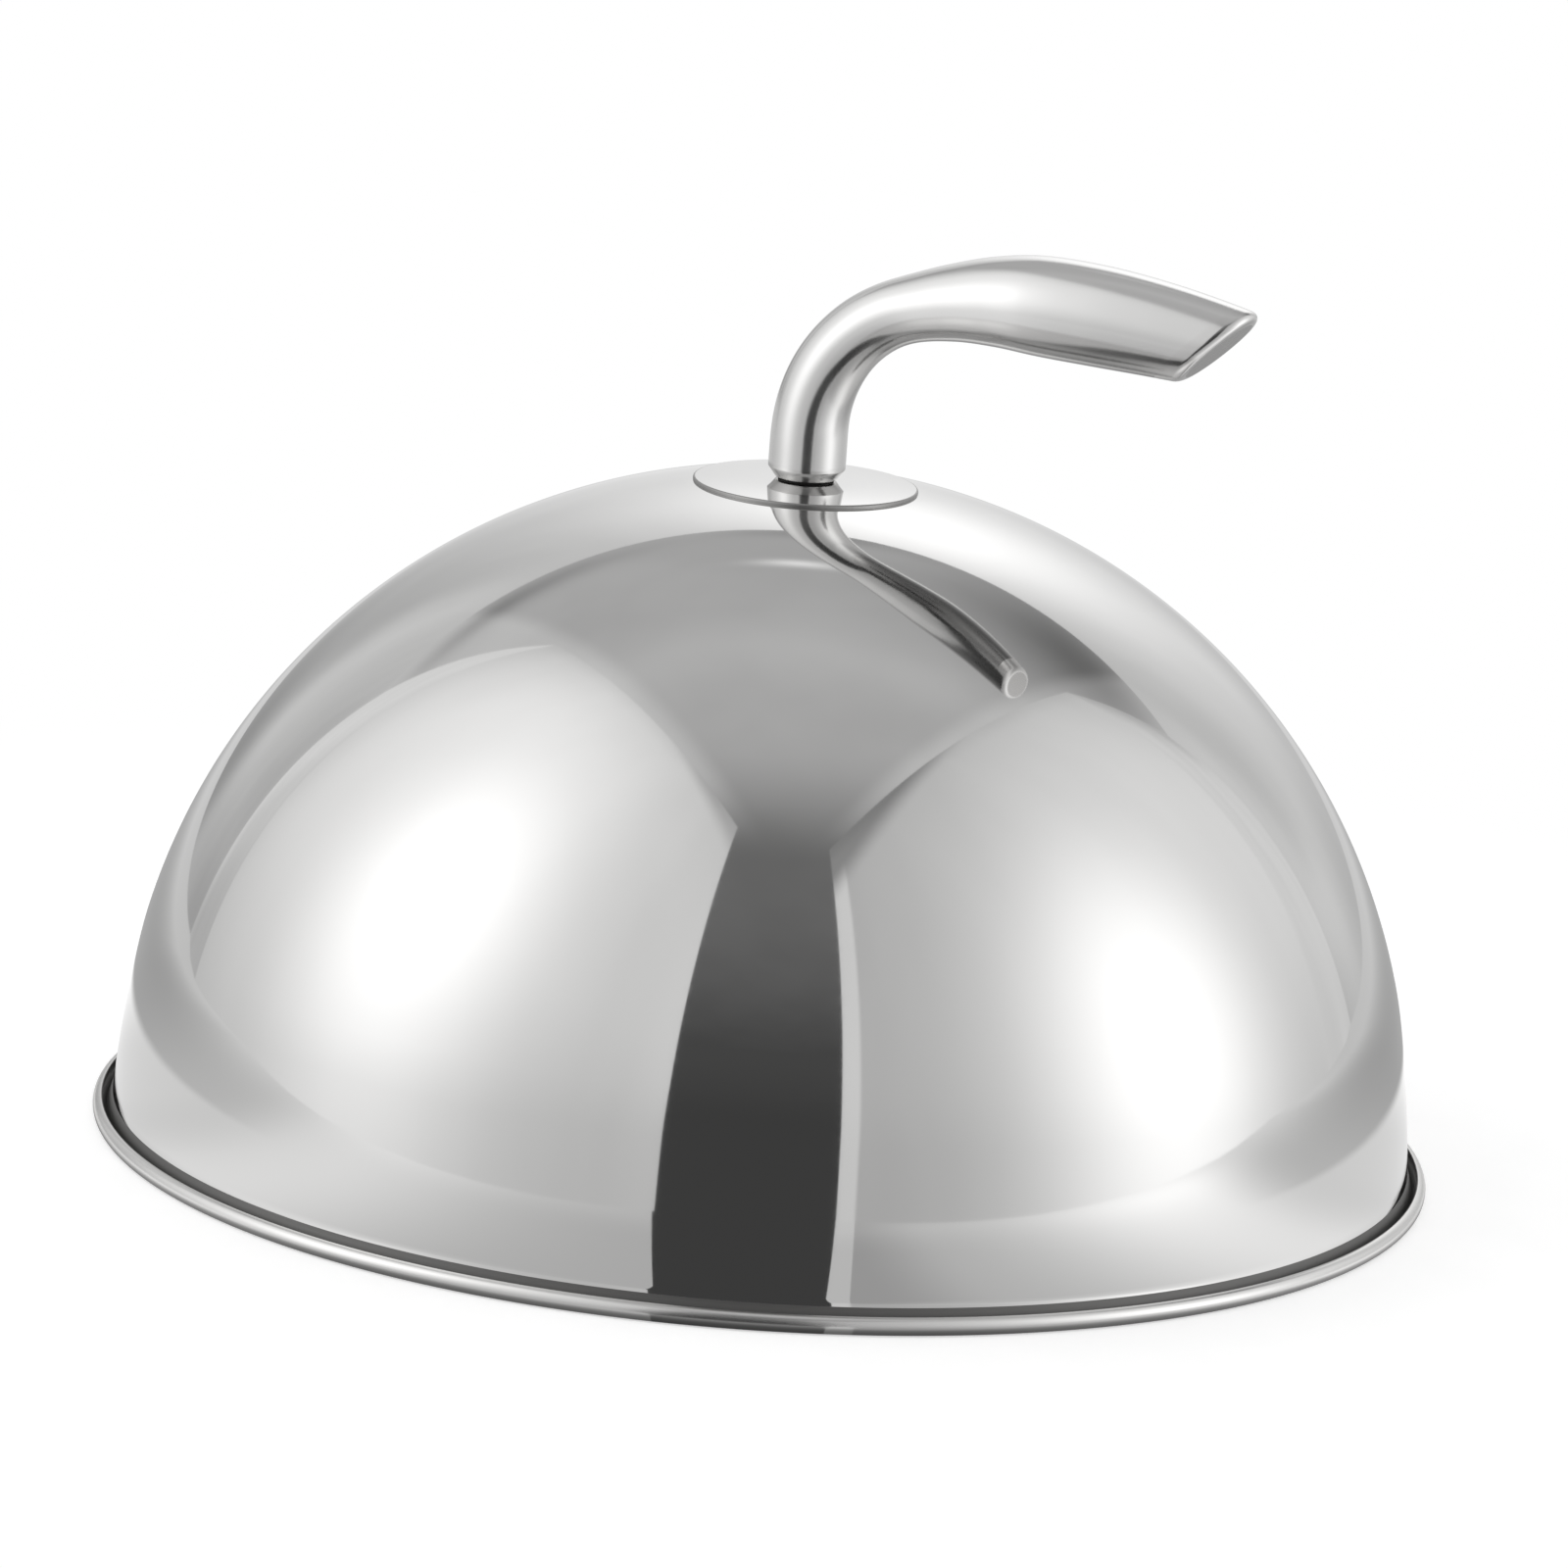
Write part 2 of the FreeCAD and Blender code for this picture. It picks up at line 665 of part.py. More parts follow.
def write_parts(pieces):
    """Check every object and every piece, then write one file for each piece."""
    doc.recompute()
    for item in doc.Objects:
        if "Invalid" in item.State or "Error" in item.State:
            raise RuntimeError(f"{item.Label} is in state {item.State}")
    os.makedirs("parts", exist_ok=True)
    for piece in pieces:
        shape = piece.Shape
        if shape.isNull() or not shape.isValid() or not shape.Solids:
            raise RuntimeError(f"{piece.Label} has no valid solid")
        box = shape.BoundBox
        print(
            f"{piece.Label}: {shape.Volume:.1f} mm3, {len(shape.Solids)} solid,"
            f" x {box.XMin:.1f} to {box.XMax:.1f}, z {box.ZMin:.2f} to {box.ZMax:.2f}"
        )
        shape.exportStep(f"parts/{piece.Label}.step")


def main():
    """Build the food cover and write its parts."""
    fill_sheet()
    write_parts(
        [
            make_dome_shell(),
            make_crown_plate(),
            make_foot_seal(),
            make_handle_foot(),
            make_handle_shell(),
            make_handle_end_cap(),
            make_locating_pin(),
            make_inner_seal(),
            make_load_washer(),
            make_spring_washer(),
            make_fixing_screw(),
        ]
    )


main()
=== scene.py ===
"""Looks of a domed buffet food cover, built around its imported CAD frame.

The frame's own nodes give every place. The polished pieces that show are modelled again here with
finer meshes of the same sizes, because a mirror finish shows every facet. A soft light tent stands
round the cover, with one narrow opening towards the camera.
"""

import logging
import math
from bisect import bisect_right
from dataclasses import dataclass, field
from enum import Enum, IntEnum

import bmesh
import bpy
from mathutils import Matrix, Vector


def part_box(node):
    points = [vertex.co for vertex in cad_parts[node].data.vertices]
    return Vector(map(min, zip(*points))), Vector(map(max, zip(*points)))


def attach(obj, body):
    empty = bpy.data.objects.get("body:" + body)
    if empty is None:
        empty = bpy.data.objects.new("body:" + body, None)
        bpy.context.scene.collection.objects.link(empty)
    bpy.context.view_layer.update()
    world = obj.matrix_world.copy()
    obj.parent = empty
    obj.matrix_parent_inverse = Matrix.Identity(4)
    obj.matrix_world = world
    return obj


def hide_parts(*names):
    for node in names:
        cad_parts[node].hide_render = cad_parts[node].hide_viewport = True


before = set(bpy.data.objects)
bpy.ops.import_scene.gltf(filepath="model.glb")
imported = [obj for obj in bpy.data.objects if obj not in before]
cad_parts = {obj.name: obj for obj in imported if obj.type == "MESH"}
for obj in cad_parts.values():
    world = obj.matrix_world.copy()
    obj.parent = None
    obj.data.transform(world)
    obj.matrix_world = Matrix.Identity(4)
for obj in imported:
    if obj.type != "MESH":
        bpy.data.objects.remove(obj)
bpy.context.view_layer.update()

LOG = logging.getLogger("food_cover")
BODY = "root"
MM = 0.001
UP = Vector((0.0, 0.0, 1.0))
TURN = "turn"
SHADE_UNDERSIDE = "shade_underside"
ROOM_LEVEL = 0.063

Socket = bpy.types.NodeSocket
Mesh = bmesh.types.BMesh


class Lay(Enum):
    """Which way the fine polishing marks of a finish run."""

    AROUND = "around the axis of the cover"
    ALONG = "along the handle"


class DomeFace(IntEnum):
    """The number of the finish that each kind of the dome's faces takes."""

    OUTSIDE = 0
    INSIDE = 1
    BEAD = 2
    ROLLED_PAINTED_SHADE = 3


@dataclass(frozen=True)
class SteelFinish:
    """A steel surface: its tone, how sharp it mirrors, its polishing marks, and how far its tone is
    darkened as painted shade where it faces down.
    """

    name: str
    tone: tuple[float, float, float]
    roughness: float
    spread: float
    lay: Lay
    mark_scale: float
    mark_depth: float
    waviness: float = 0.0
    underside_shade_share: float = 1.0


@dataclass(frozen=True)
class RubberFinish:
    """A matt rubber surface with a fine moulded grain."""

    name: str
    tone: tuple[float, float, float]
    roughness: float
    grain_scale: float
    grain_depth: float


DOME_OUTSIDE = SteelFinish(
    "dome_outside_mirror", (0.67, 0.667, 0.662), roughness=0.035, spread=0.03, lay=Lay.AROUND,
    mark_scale=420.0, mark_depth=0.8e-6, waviness=6.0e-6,
)
DOME_INSIDE = SteelFinish(
    "dome_inside_satin", (0.64, 0.635, 0.625), roughness=0.34, spread=0.10, lay=Lay.AROUND,
    mark_scale=900.0, mark_depth=12.0e-6,
)
RIM_BEAD = SteelFinish(
    "rim_bead_polish", (0.70, 0.695, 0.687), roughness=0.24, spread=0.10, lay=Lay.AROUND,
    mark_scale=900.0, mark_depth=2.5e-6,
)
# Partly painted shade: the dark tone stands in for the shade in the rolled rim's groove and at the
# wall's foot beside it; the high roughness is the unpolished sheet there.
ROLLED_PAINTED_SHADE = SteelFinish(
    "rolled_edge_unpolished_painted_shade", (0.20, 0.198, 0.194), roughness=0.60, spread=0.10, lay=Lay.AROUND,
    mark_scale=1500.0, mark_depth=1.0e-6,
)
# Partly painted shade: the edge is dull, and its dark tone also stands in for the shadow line under
# the plate's edge.
CUT_EDGE = SteelFinish(
    "plate_cut_edge_dull_and_shaded", (0.32, 0.317, 0.312), roughness=0.36, spread=0.10, lay=Lay.AROUND,
    mark_scale=3000.0, mark_depth=8.0e-6,
)
PLATE_MIRROR = SteelFinish(
    "plate_mirror", (0.67, 0.667, 0.662), roughness=0.04, spread=0.03, lay=Lay.AROUND,
    mark_scale=500.0, mark_depth=1.0e-6,
)
# Painted shade: the handle's tone is darkened on the underside of the arm.
HANDLE_MIRROR = SteelFinish(
    "handle_mirror", (0.67, 0.667, 0.662), roughness=0.17, spread=0.05, lay=Lay.ALONG,
    mark_scale=260.0, mark_depth=1.0e-6, waviness=4.0e-6, underside_shade_share=0.36,
)
CAP_POLISH = SteelFinish(
    "cap_polish", (0.66, 0.655, 0.65), roughness=0.16, spread=0.05, lay=Lay.ALONG,
    mark_scale=420.0, mark_depth=2.0e-6,
)
# Partly painted shade: the face is ground, and its darker tone stands in for the darker
# surroundings that the flat face mirrors.
CAP_FACE = SteelFinish(
    "cap_face_ground_and_shaded", (0.44, 0.435, 0.43), roughness=0.27, spread=0.10, lay=Lay.ALONG,
    mark_scale=700.0, mark_depth=3.0e-6,
)
FIXING_STEEL = SteelFinish(
    "fixing_steel", (0.62, 0.62, 0.61), roughness=0.27, spread=0.08, lay=Lay.AROUND,
    mark_scale=2600.0, mark_depth=6.0e-6,
)
# Partly painted shade: this near-black rubber also stands in for the shade in the contact line
# under the handle's foot.
DARK_RUBBER_AND_FOOT_SHADE = RubberFinish(
    "dark_silicone_and_foot_shade", (0.022, 0.021, 0.020), roughness=0.62, grain_scale=1800.0, grain_depth=20.0e-6
)


@dataclass(frozen=True)
class Ramp:
    """A smooth change: the inputs at which it starts and ends, and its outputs there."""

    low: float
    high: float
    start: float
    end: float


@dataclass(frozen=True)
class Line:
    """A straight line on the floor or on a cloth: its rise, and its place at nought."""

    rise: float
    start: float


@dataclass(frozen=True)
class Patch:
    """A soft patch on a sheet of the tent, brighter, or darker where its strength is negative."""

    across: float
    up: float
    width: float
    height: float
    strength: float


class Graph:
    """Adds the nodes of one shader tree and links them."""

    def __init__(self, tree: bpy.types.NodeTree) -> None:
        """Take the tree that the nodes go into."""
        self.tree = tree

    def add(self, kind: str, label: str = "", **settings: object) -> bpy.types.Node:
        """Add one node.

        Args:
            kind: the node's Blender type name.
            label: a plain name shown on the node.
            settings: properties of the node, such as its operation.

        Returns:
            The new node.
        """
        node = self.tree.nodes.new(kind)
        node.label = label
        for name, value in settings.items():
            setattr(node, name, value)
        return node

    def link(self, source: Socket, target: Socket) -> None:
        """Join an output to an input."""
        self.tree.links.new(source, target)

    def feed(self, target: Socket, value: "Socket | float | tuple") -> None:
        """Give an input a constant, or join an output to it."""
        if isinstance(value, bpy.types.NodeSocket):
            self.link(value, target)
        else:
            target.default_value = value

    def maths(self, operation: str, *values: "Socket | float") -> Socket:
        """Add one maths node.

        Args:
            operation: the Math node's operation.
            values: its inputs in order, each a constant or an output.

        Returns:
            The node's output.
        """
        node = self.add("ShaderNodeMath", operation=operation)
        for socket, value in zip(node.inputs, values):
            self.feed(socket, value)
        return node.outputs[0]

    def vectors(self, operation: str, *values: "Socket | tuple") -> Socket:
        """Add one vector maths node and give its vector output, or its value where it has one."""
        node = self.add("ShaderNodeVectorMath", operation=operation)
        for socket, value in zip(node.inputs, values):
            self.feed(socket, value)
        scalar = operation in {"DOT_PRODUCT", "LENGTH", "DISTANCE"}
        return node.outputs["Value"] if scalar else node.outputs["Vector"]

    def ramp(self, value: Socket, change: Ramp) -> Socket:
        """Give a smooth change as an input passes between the change's two limits."""
        node = self.add("ShaderNodeMapRange", interpolation_type="SMOOTHSTEP")
        limits = ("From Min", "From Max", "To Min", "To Max")
        for name, number in zip(limits, (change.low, change.high, change.start, change.end)):
            node.inputs[name].default_value = number
        self.link(value, node.inputs["Value"])
        return node.outputs["Result"]

    def noise(self, vector: Socket, scale: "Socket | float", detail: float) -> Socket:
        """Add a noise texture and give its value."""
        node = self.add("ShaderNodeTexNoise")
        self.link(vector, node.inputs["Vector"])
        self.feed(node.inputs["Scale"], scale)
        node.inputs["Detail"].default_value = detail
        return node.outputs["Fac"]

    def mapped(self, vector: Socket, scale: tuple[float, float, float]) -> Socket:
        """Stretch a vector by a factor along each axis."""
        node = self.add("ShaderNodeMapping")
        node.inputs["Scale"].default_value = scale
        self.link(vector, node.inputs["Vector"])
        return node.outputs["Vector"]

    def scaled(self, vector: "Socket | tuple", share: Socket) -> Socket:
        """Scale a vector or a colour by a share."""
        node = self.add("ShaderNodeVectorMath", operation="SCALE")
        self.feed(node.inputs[0], vector)
        self.link(share, node.inputs["Scale"])
        return node.outputs["Vector"]

    def joined(self, **parts: Socket) -> Socket:
        """Join parts, named X, Y or Z, into a vector."""
        node = self.add("ShaderNodeCombineXYZ")
        for name, part in parts.items():
            self.link(part, node.inputs[name])
        return node.outputs[0]

    def place(self) -> Socket:
        """Give the place of the surface point, which is its place in the frame."""
        return self.add("ShaderNodeTexCoord").outputs["Object"]

    def blended(
        self, share: Socket, first: "Socket | float", second: "Socket | float"
    ) -> Socket:
        """Blend from a first value to a second by a share."""
        node = self.add("ShaderNodeMix", data_type="FLOAT")
        self.link(share, node.inputs["Factor"])
        self.feed(node.inputs["A"], first)
        self.feed(node.inputs["B"], second)
        return node.outputs["Result"]

    def patched(
        self, level: Socket, across: Socket, up: Socket, patches: tuple[Patch, ...]
    ) -> Socket:
        """Add soft patches to a level.

        Args:
            level: the level before the patches.
            across: the place along the sheet.
            up: the place up or back along it.
            patches: the patches to add.

        Returns:
            The level with the patches.
        """
        for patch in patches:
            first = self.maths(
                "MULTIPLY_ADD", across, 1.0 / patch.width, -patch.across / patch.width
            )
            second = self.maths("MULTIPLY_ADD", up, 1.0 / patch.height, -patch.up / patch.height)
            square = self.maths("MULTIPLY", second, second)
            square = self.maths("MULTIPLY_ADD", first, first, square)
            bell = self.maths("EXPONENT", self.maths("MULTIPLY", square, -0.5))
            level = self.maths("MULTIPLY_ADD", bell, patch.strength, level)
        return level

    def glow(self, strength: "Socket | float", label: str = "") -> Socket:
        """Add a shader that only gives light, of a strength."""
        node = self.add("ShaderNodeEmission", label)
        self.feed(node.inputs["Strength"], strength)
        return node.outputs[0]

    def mixed(self, share: Socket, first: Socket, second: Socket) -> Socket:
        """Mix from a first shader to a second by a share."""
        node = self.add("ShaderNodeMixShader")
        for source, target in zip((share, first, second), node.inputs):
            self.link(source, target)
        return node.outputs[0]

    def surface(self, shader: Socket) -> None:
        """Give the material its surface."""
        self.link(shader, self.add("ShaderNodeOutputMaterial").inputs["Surface"])


def new_material(name: str) -> tuple[bpy.types.Material, Graph]:
    """Make an empty material, and give it with its graph."""
    material = bpy.data.materials.new(name)
    material.use_nodes = True
    material.node_tree.nodes.clear()
    return material, Graph(material.node_tree)


class ShaderGroups:
    """The effects that more than one material uses, each built once."""

    SLIGHT_ANGLE = (0.02, 0.02, 0.0)
    ALONG_STREAK = (0.12, 1.0, 1.0)
    SMUDGE_SCALE = 14.0
    WAVE_SCALE = 38.0
    MARK_DETAIL = 3.0
    SMUDGE_DETAIL = 4.0
    WAVE_DETAIL = 1.0
    CLOUD_DETAIL = 2.0

    def __init__(self) -> None:
        """Start with no group built."""
        self.built: dict[str, bpy.types.NodeTree] = {}

    def start(self, name: str, inputs: dict[str, str], outputs: dict[str, str]) -> Graph:
        """Start a group with named sockets.

        Args:
            name: the group's name.
            inputs: each input's name and socket type.
            outputs: each output's name and socket type.

        Returns:
            The graph of the new group.
        """
        tree = bpy.data.node_groups.new(name, "ShaderNodeTree")
        for label, kind in inputs.items():
            tree.interface.new_socket(label, in_out="INPUT", socket_type=kind)
        for label, kind in outputs.items():
            tree.interface.new_socket(label, in_out="OUTPUT", socket_type=kind)
        self.built[name] = tree
        return Graph(tree)

    def polishing_marks(self, lay: Lay) -> bpy.types.NodeTree:
        """Give the group that makes fine polishing marks, smudges and waviness.

        Args:
            lay: the way that the marks run.

        Returns:
            The group, with the outputs Roughness and Height.
        """
        name = f"polishing_marks_{lay.name.lower()}"
        if name in self.built:
            return self.built[name]
        number = "NodeSocketFloat"
        graph = self.start(
            name,
            {
                "Vector": "NodeSocketVector",
                "Mark Scale": number,
                "Roughness": number,
                "Spread": number,
                "Mark Depth": number,
                "Waviness": number,
            },
            {"Roughness": number, "Height": number},
        )
        given = graph.add("NodeGroupInput").outputs
        place = given["Vector"]
        if lay is Lay.AROUND:
            marks_at = self.ring_place(graph, place)
        else:
            marks_at = graph.mapped(place, self.ALONG_STREAK)
        marks = graph.noise(marks_at, given["Mark Scale"], self.MARK_DETAIL)
        smudge = graph.noise(place, self.SMUDGE_SCALE, self.SMUDGE_DETAIL)
        wave = graph.noise(place, self.WAVE_SCALE, self.WAVE_DETAIL)
        centred = graph.maths("SUBTRACT", marks, 0.5)
        blend = graph.maths("ADD", centred, graph.maths("SUBTRACT", smudge, 0.5))
        spread = graph.maths("MULTIPLY", blend, given["Spread"])
        rough = graph.maths("ADD", given["Roughness"], spread)
        mark_height = graph.maths("MULTIPLY", marks, given["Mark Depth"])
        wave_height = graph.maths("MULTIPLY", wave, given["Waviness"])
        out = graph.add("NodeGroupOutput").inputs
        graph.link(rough, out["Roughness"])
        graph.link(graph.maths("ADD", mark_height, wave_height), out["Height"])
        return graph.tree

    def ring_place(self, graph: Graph, place: Socket) -> Socket:
        """Turn a place into radius, a little of the angle, and height, so that marks run round."""
        node = graph.add("ShaderNodeSeparateXYZ")
        graph.link(place, node.inputs[0])
        parts = node.outputs
        radius = graph.vectors("LENGTH", graph.joined(X=parts["X"], Y=parts["Y"]))
        slight = graph.vectors("MULTIPLY", place, self.SLIGHT_ANGLE)
        return graph.vectors("ADD", graph.joined(X=radius, Z=parts["Z"]), slight)

    def steel_tone(self) -> bpy.types.NodeTree:
        """Give the group that varies a steel's tone very slightly over its surface."""
        name = "steel_tone"
        if name in self.built:
            return self.built[name]
        graph = self.start(
            name,
            {"Vector": "NodeSocketVector", "Tone": "NodeSocketColor", "Cloud": "NodeSocketFloat"},
            {"Color": "NodeSocketColor"},
        )
        given = graph.add("NodeGroupInput").outputs
        cloud = graph.noise(given["Vector"], self.SMUDGE_SCALE, self.CLOUD_DETAIL)
        shift = graph.maths("MULTIPLY", graph.maths("SUBTRACT", cloud, 0.5), given["Cloud"])
        level = graph.maths("ADD", shift, 1.0)
        out = graph.add("NodeGroupOutput").inputs
        graph.link(graph.scaled(given["Tone"], level), out["Color"])
        return graph.tree


@dataclass
class Paintbox:
    """Makes each finish's material once and gives it to pieces."""

    TONE_CLOUD = 0.03
    SHADE_UNDERSIDE_LIMITS = (0.78, 0.97)
    RUBBER_GRAIN = Ramp(0.3, 0.7, 0.8, 1.25)
    RUBBER_DETAIL = 2.0
    groups: ShaderGroups = field(default_factory=ShaderGroups)
    made: dict[str, bpy.types.Material] = field(default_factory=dict)

    def material(self, finish: SteelFinish | RubberFinish) -> bpy.types.Material:
        """Give the material of a finish.

        Args:
            finish: the steel or rubber finish.

        Returns:
            Its material, made at the first call.
        """
        if finish.name not in self.made:
            material, graph = new_material(finish.name)
            shader = graph.add("ShaderNodeBsdfPrincipled")
            place = graph.place()
            if isinstance(finish, SteelFinish):
                self.dress_steel(graph, shader, place, finish)
            else:
                self.dress_rubber(graph, shader, place, finish)
            graph.surface(shader.outputs[0])
            self.made[finish.name] = material
        return self.made[finish.name]

    def dress_steel(
        self, graph: Graph, shader: bpy.types.Node, place: Socket, finish: SteelFinish
    ) -> None:
        """Feed a steel's tone, roughness and bump into its shader, with painted shade darkening the
        tone where the surface faces down.
        """
        shader.inputs["Metallic"].default_value = 1.0
        tone = graph.add("ShaderNodeGroup", "slight clouding", node_tree=self.groups.steel_tone())
        graph.link(place, tone.inputs["Vector"])
        tone.inputs["Tone"].default_value = (*finish.tone, 1.0)
        tone.inputs["Cloud"].default_value = self.TONE_CLOUD
        color = tone.outputs["Color"]
        # Painted shade: the tone is darkened where the surface faces down.
        if finish.underside_shade_share < 1.0:
            under = graph.add("ShaderNodeAttribute", attribute_name=SHADE_UNDERSIDE).outputs["Fac"]
            underside_painted_shade = Ramp(*self.SHADE_UNDERSIDE_LIMITS, 1.0, finish.underside_shade_share)
            color = graph.scaled(color, graph.ramp(under, underside_painted_shade))
        graph.link(color, shader.inputs["Base Color"])
        tree = self.groups.polishing_marks(finish.lay)
        marks = graph.add("ShaderNodeGroup", "polishing marks", node_tree=tree)
        graph.link(place, marks.inputs["Vector"])
        for name, value in (
            ("Mark Scale", finish.mark_scale),
            ("Roughness", finish.roughness),
            ("Spread", finish.spread),
            ("Mark Depth", finish.mark_depth),
            ("Waviness", finish.waviness),
        ):
            marks.inputs[name].default_value = value
        graph.link(marks.outputs["Roughness"], shader.inputs["Roughness"])
        self.bump(graph, shader, marks.outputs["Height"])

    def dress_rubber(
        self, graph: Graph, shader: bpy.types.Node, place: Socket, finish: RubberFinish
    ) -> None:
        """Feed a rubber's tone and moulded grain into its shader."""
        shader.inputs["Roughness"].default_value = finish.roughness
        grain = graph.noise(place, finish.grain_scale, self.RUBBER_DETAIL)
        tone = graph.scaled(finish.tone, graph.ramp(grain, self.RUBBER_GRAIN))
        graph.link(tone, shader.inputs["Base Color"])
        self.bump(graph, shader, graph.maths("MULTIPLY", grain, finish.grain_depth))

    def bump(self, graph: Graph, shader: bpy.types.Node, height: Socket) -> None:
        """Turn a height in metres into the shader's normal."""
        node = graph.add("ShaderNodeBump")
        node.inputs["Strength"].default_value = 1.0
        node.inputs["Distance"].default_value = 1.0
        graph.link(height, node.inputs["Height"])
        graph.link(node.outputs["Normal"], shader.inputs["Normal"])

    def paint(self, piece: bpy.types.Object, *finishes: SteelFinish | RubberFinish) -> None:
        """Give a piece its materials, one slot for each finish, keeping its faces' numbers."""
        if piece.data.materials:
            piece.data.materials.clear()
        for finish in finishes:
            piece.data.materials.append(self.material(finish))


class ProfilePen:
    """Draws the wire of a turned piece's section, in the plane of X and Z."""

    JOIN = 1e-7

    def __init__(self, mesh: Mesh, across: float, up: float) -> None:
        """Put the pen down at a radius and a height."""
        self.mesh = mesh
        self.tip = mesh.verts.new((across, 0.0, up))

    def line_to(self, across: float, up: float, steps: int = 1) -> "ProfilePen":
        """Draw a straight side in equal steps."""
        shift = (Vector((across, 0.0, up)) - self.tip.co) / steps
        for _ in range(steps):
            made = bmesh.ops.extrude_vert_indiv(self.mesh, verts=[self.tip])
            self.tip = made["verts"][0]
            bmesh.ops.translate(self.mesh, verts=[self.tip], vec=shift)
        return self

    def turn(self, centre: tuple[float, float], angle: float, steps: int) -> "ProfilePen":
        """Draw an arc round a centre.

        Args:
            centre: the arc's centre, as a radius and a height.
            angle: how far it turns, positive for anticlockwise as seen from the front.
            steps: the number of sides.

        Returns:
            The pen itself.
        """
        made = bmesh.ops.spin(
            self.mesh,
            geom=[self.tip],
            cent=(centre[0], 0.0, centre[1]),
            axis=(0.0, -1.0, 0.0),
            dvec=(0.0, 0.0, 0.0),
            angle=angle,
            steps=steps,
            use_duplicate=False,
        )
        self.tip = next(g for g in made["geom_last"] if isinstance(g, bmesh.types.BMVert))
        return self

    def arc_to(self, across: float, up: float, radius: float, steps: int) -> "ProfilePen":
        """Draw the short arc of a radius to a point.

        Args:
            across: the end's radius from the axis.
            up: the end's height.
            radius: the arc's radius, positive where it turns anticlockwise.
            steps: the number of sides.

        Returns:
            The pen itself.
        """
        start = Vector((self.tip.co.x, self.tip.co.z))
        end = Vector((across, up))
        chord = end - start
        half = chord.length / 2.0
        left = Vector((-chord.y, chord.x)).normalized()
        rise = math.sqrt(max(radius * radius - half * half, 0.0))
        centre = (start + end) / 2.0 + left * rise * math.copysign(1.0, radius)
        angle = 2.0 * math.asin(half / abs(radius)) * math.copysign(1.0, radius)
        return self.turn((centre.x, centre.y), angle, steps)

    def spin_closed(self, steps: int) -> None:
        """Close the wire, turn it right round the axis, and point its faces outwards."""
        bmesh.ops.remove_doubles(self.mesh, verts=self.mesh.verts[:], dist=self.JOIN)
        bmesh.ops.spin(
            self.mesh,
            geom=self.mesh.verts[:] + self.mesh.edges[:],
            cent=(0.0, 0.0, 0.0),
            axis=(0.0, 0.0, 1.0),
            dvec=(0.0, 0.0, 0.0),
            angle=math.tau,
            steps=steps,
            use_merge=True,
            use_duplicate=False,
        )
        bmesh.ops.remove_doubles(self.mesh, verts=self.mesh.verts[:], dist=self.JOIN)
        bmesh.ops.recalc_face_normals(self.mesh, faces=self.mesh.faces[:])


def round_edges(
    mesh: Mesh, edges: list, size: float, steps: int, kind: str = "OFFSET", clamp: bool = False
) -> None:
    """Round a mesh's edges.

    Args:
        mesh: the mesh.
        edges: its edges to round.
        size: how large the rounding is.
        steps: its number of sides.
        kind: what the size measures, as the bevel names it.
        clamp: whether roundings stop where they would meet.
    """
    bmesh.ops.bevel(
        mesh,
        geom=edges,
        offset=size,
        offset_type=kind,
        affect="EDGES",
        segments=steps,
        profile=0.5,
        material=-1,
        clamp_overlap=clamp,
    )


@dataclass
class Workshop:
    """Turns finished meshes into pieces that ride on the frame."""

    paints: Paintbox = field(default_factory=Paintbox)
    crease: float = math.radians(32.0)

    def piece(
        self,
        name: str,
        mesh: Mesh,
        slot: str,
        replaced: tuple[str, ...],
        *finishes: SteelFinish | RubberFinish,
    ) -> bpy.types.Object:
        """Make a piece from a mesh, shade it, paint it and let it stand for its CAD nodes.

        Args:
            name: the piece's name.
            mesh: its finished mesh, which is used up.
            slot: the record's material slot; not used.
            replaced: the CAD nodes that it stands for.
            finishes: its finishes, in the order of its faces' material numbers.

        Returns:
            The new piece.
        """
        for face in mesh.faces:
            face.smooth = True
        for edge in mesh.edges:
            edge.smooth = edge.calc_face_angle(0.0) < self.crease
        data = bpy.data.meshes.new(name)
        mesh.to_mesh(data)
        mesh.free()
        made = bpy.data.objects.new(name, data)
        bpy.context.scene.collection.objects.link(made)
        self.paints.paint(made, *finishes)
        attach(made, BODY)
        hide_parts(*replaced)
        LOG.info("%s: %d faces", name, len(data.polygons))
        return made

    def keep(self, node: str, finish: SteelFinish | RubberFinish) -> None:
        """Keep a CAD node as it is and give it its finish."""
        self.paints.paint(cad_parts[node], finish)
        LOG.info("%s: kept from the frame", node)


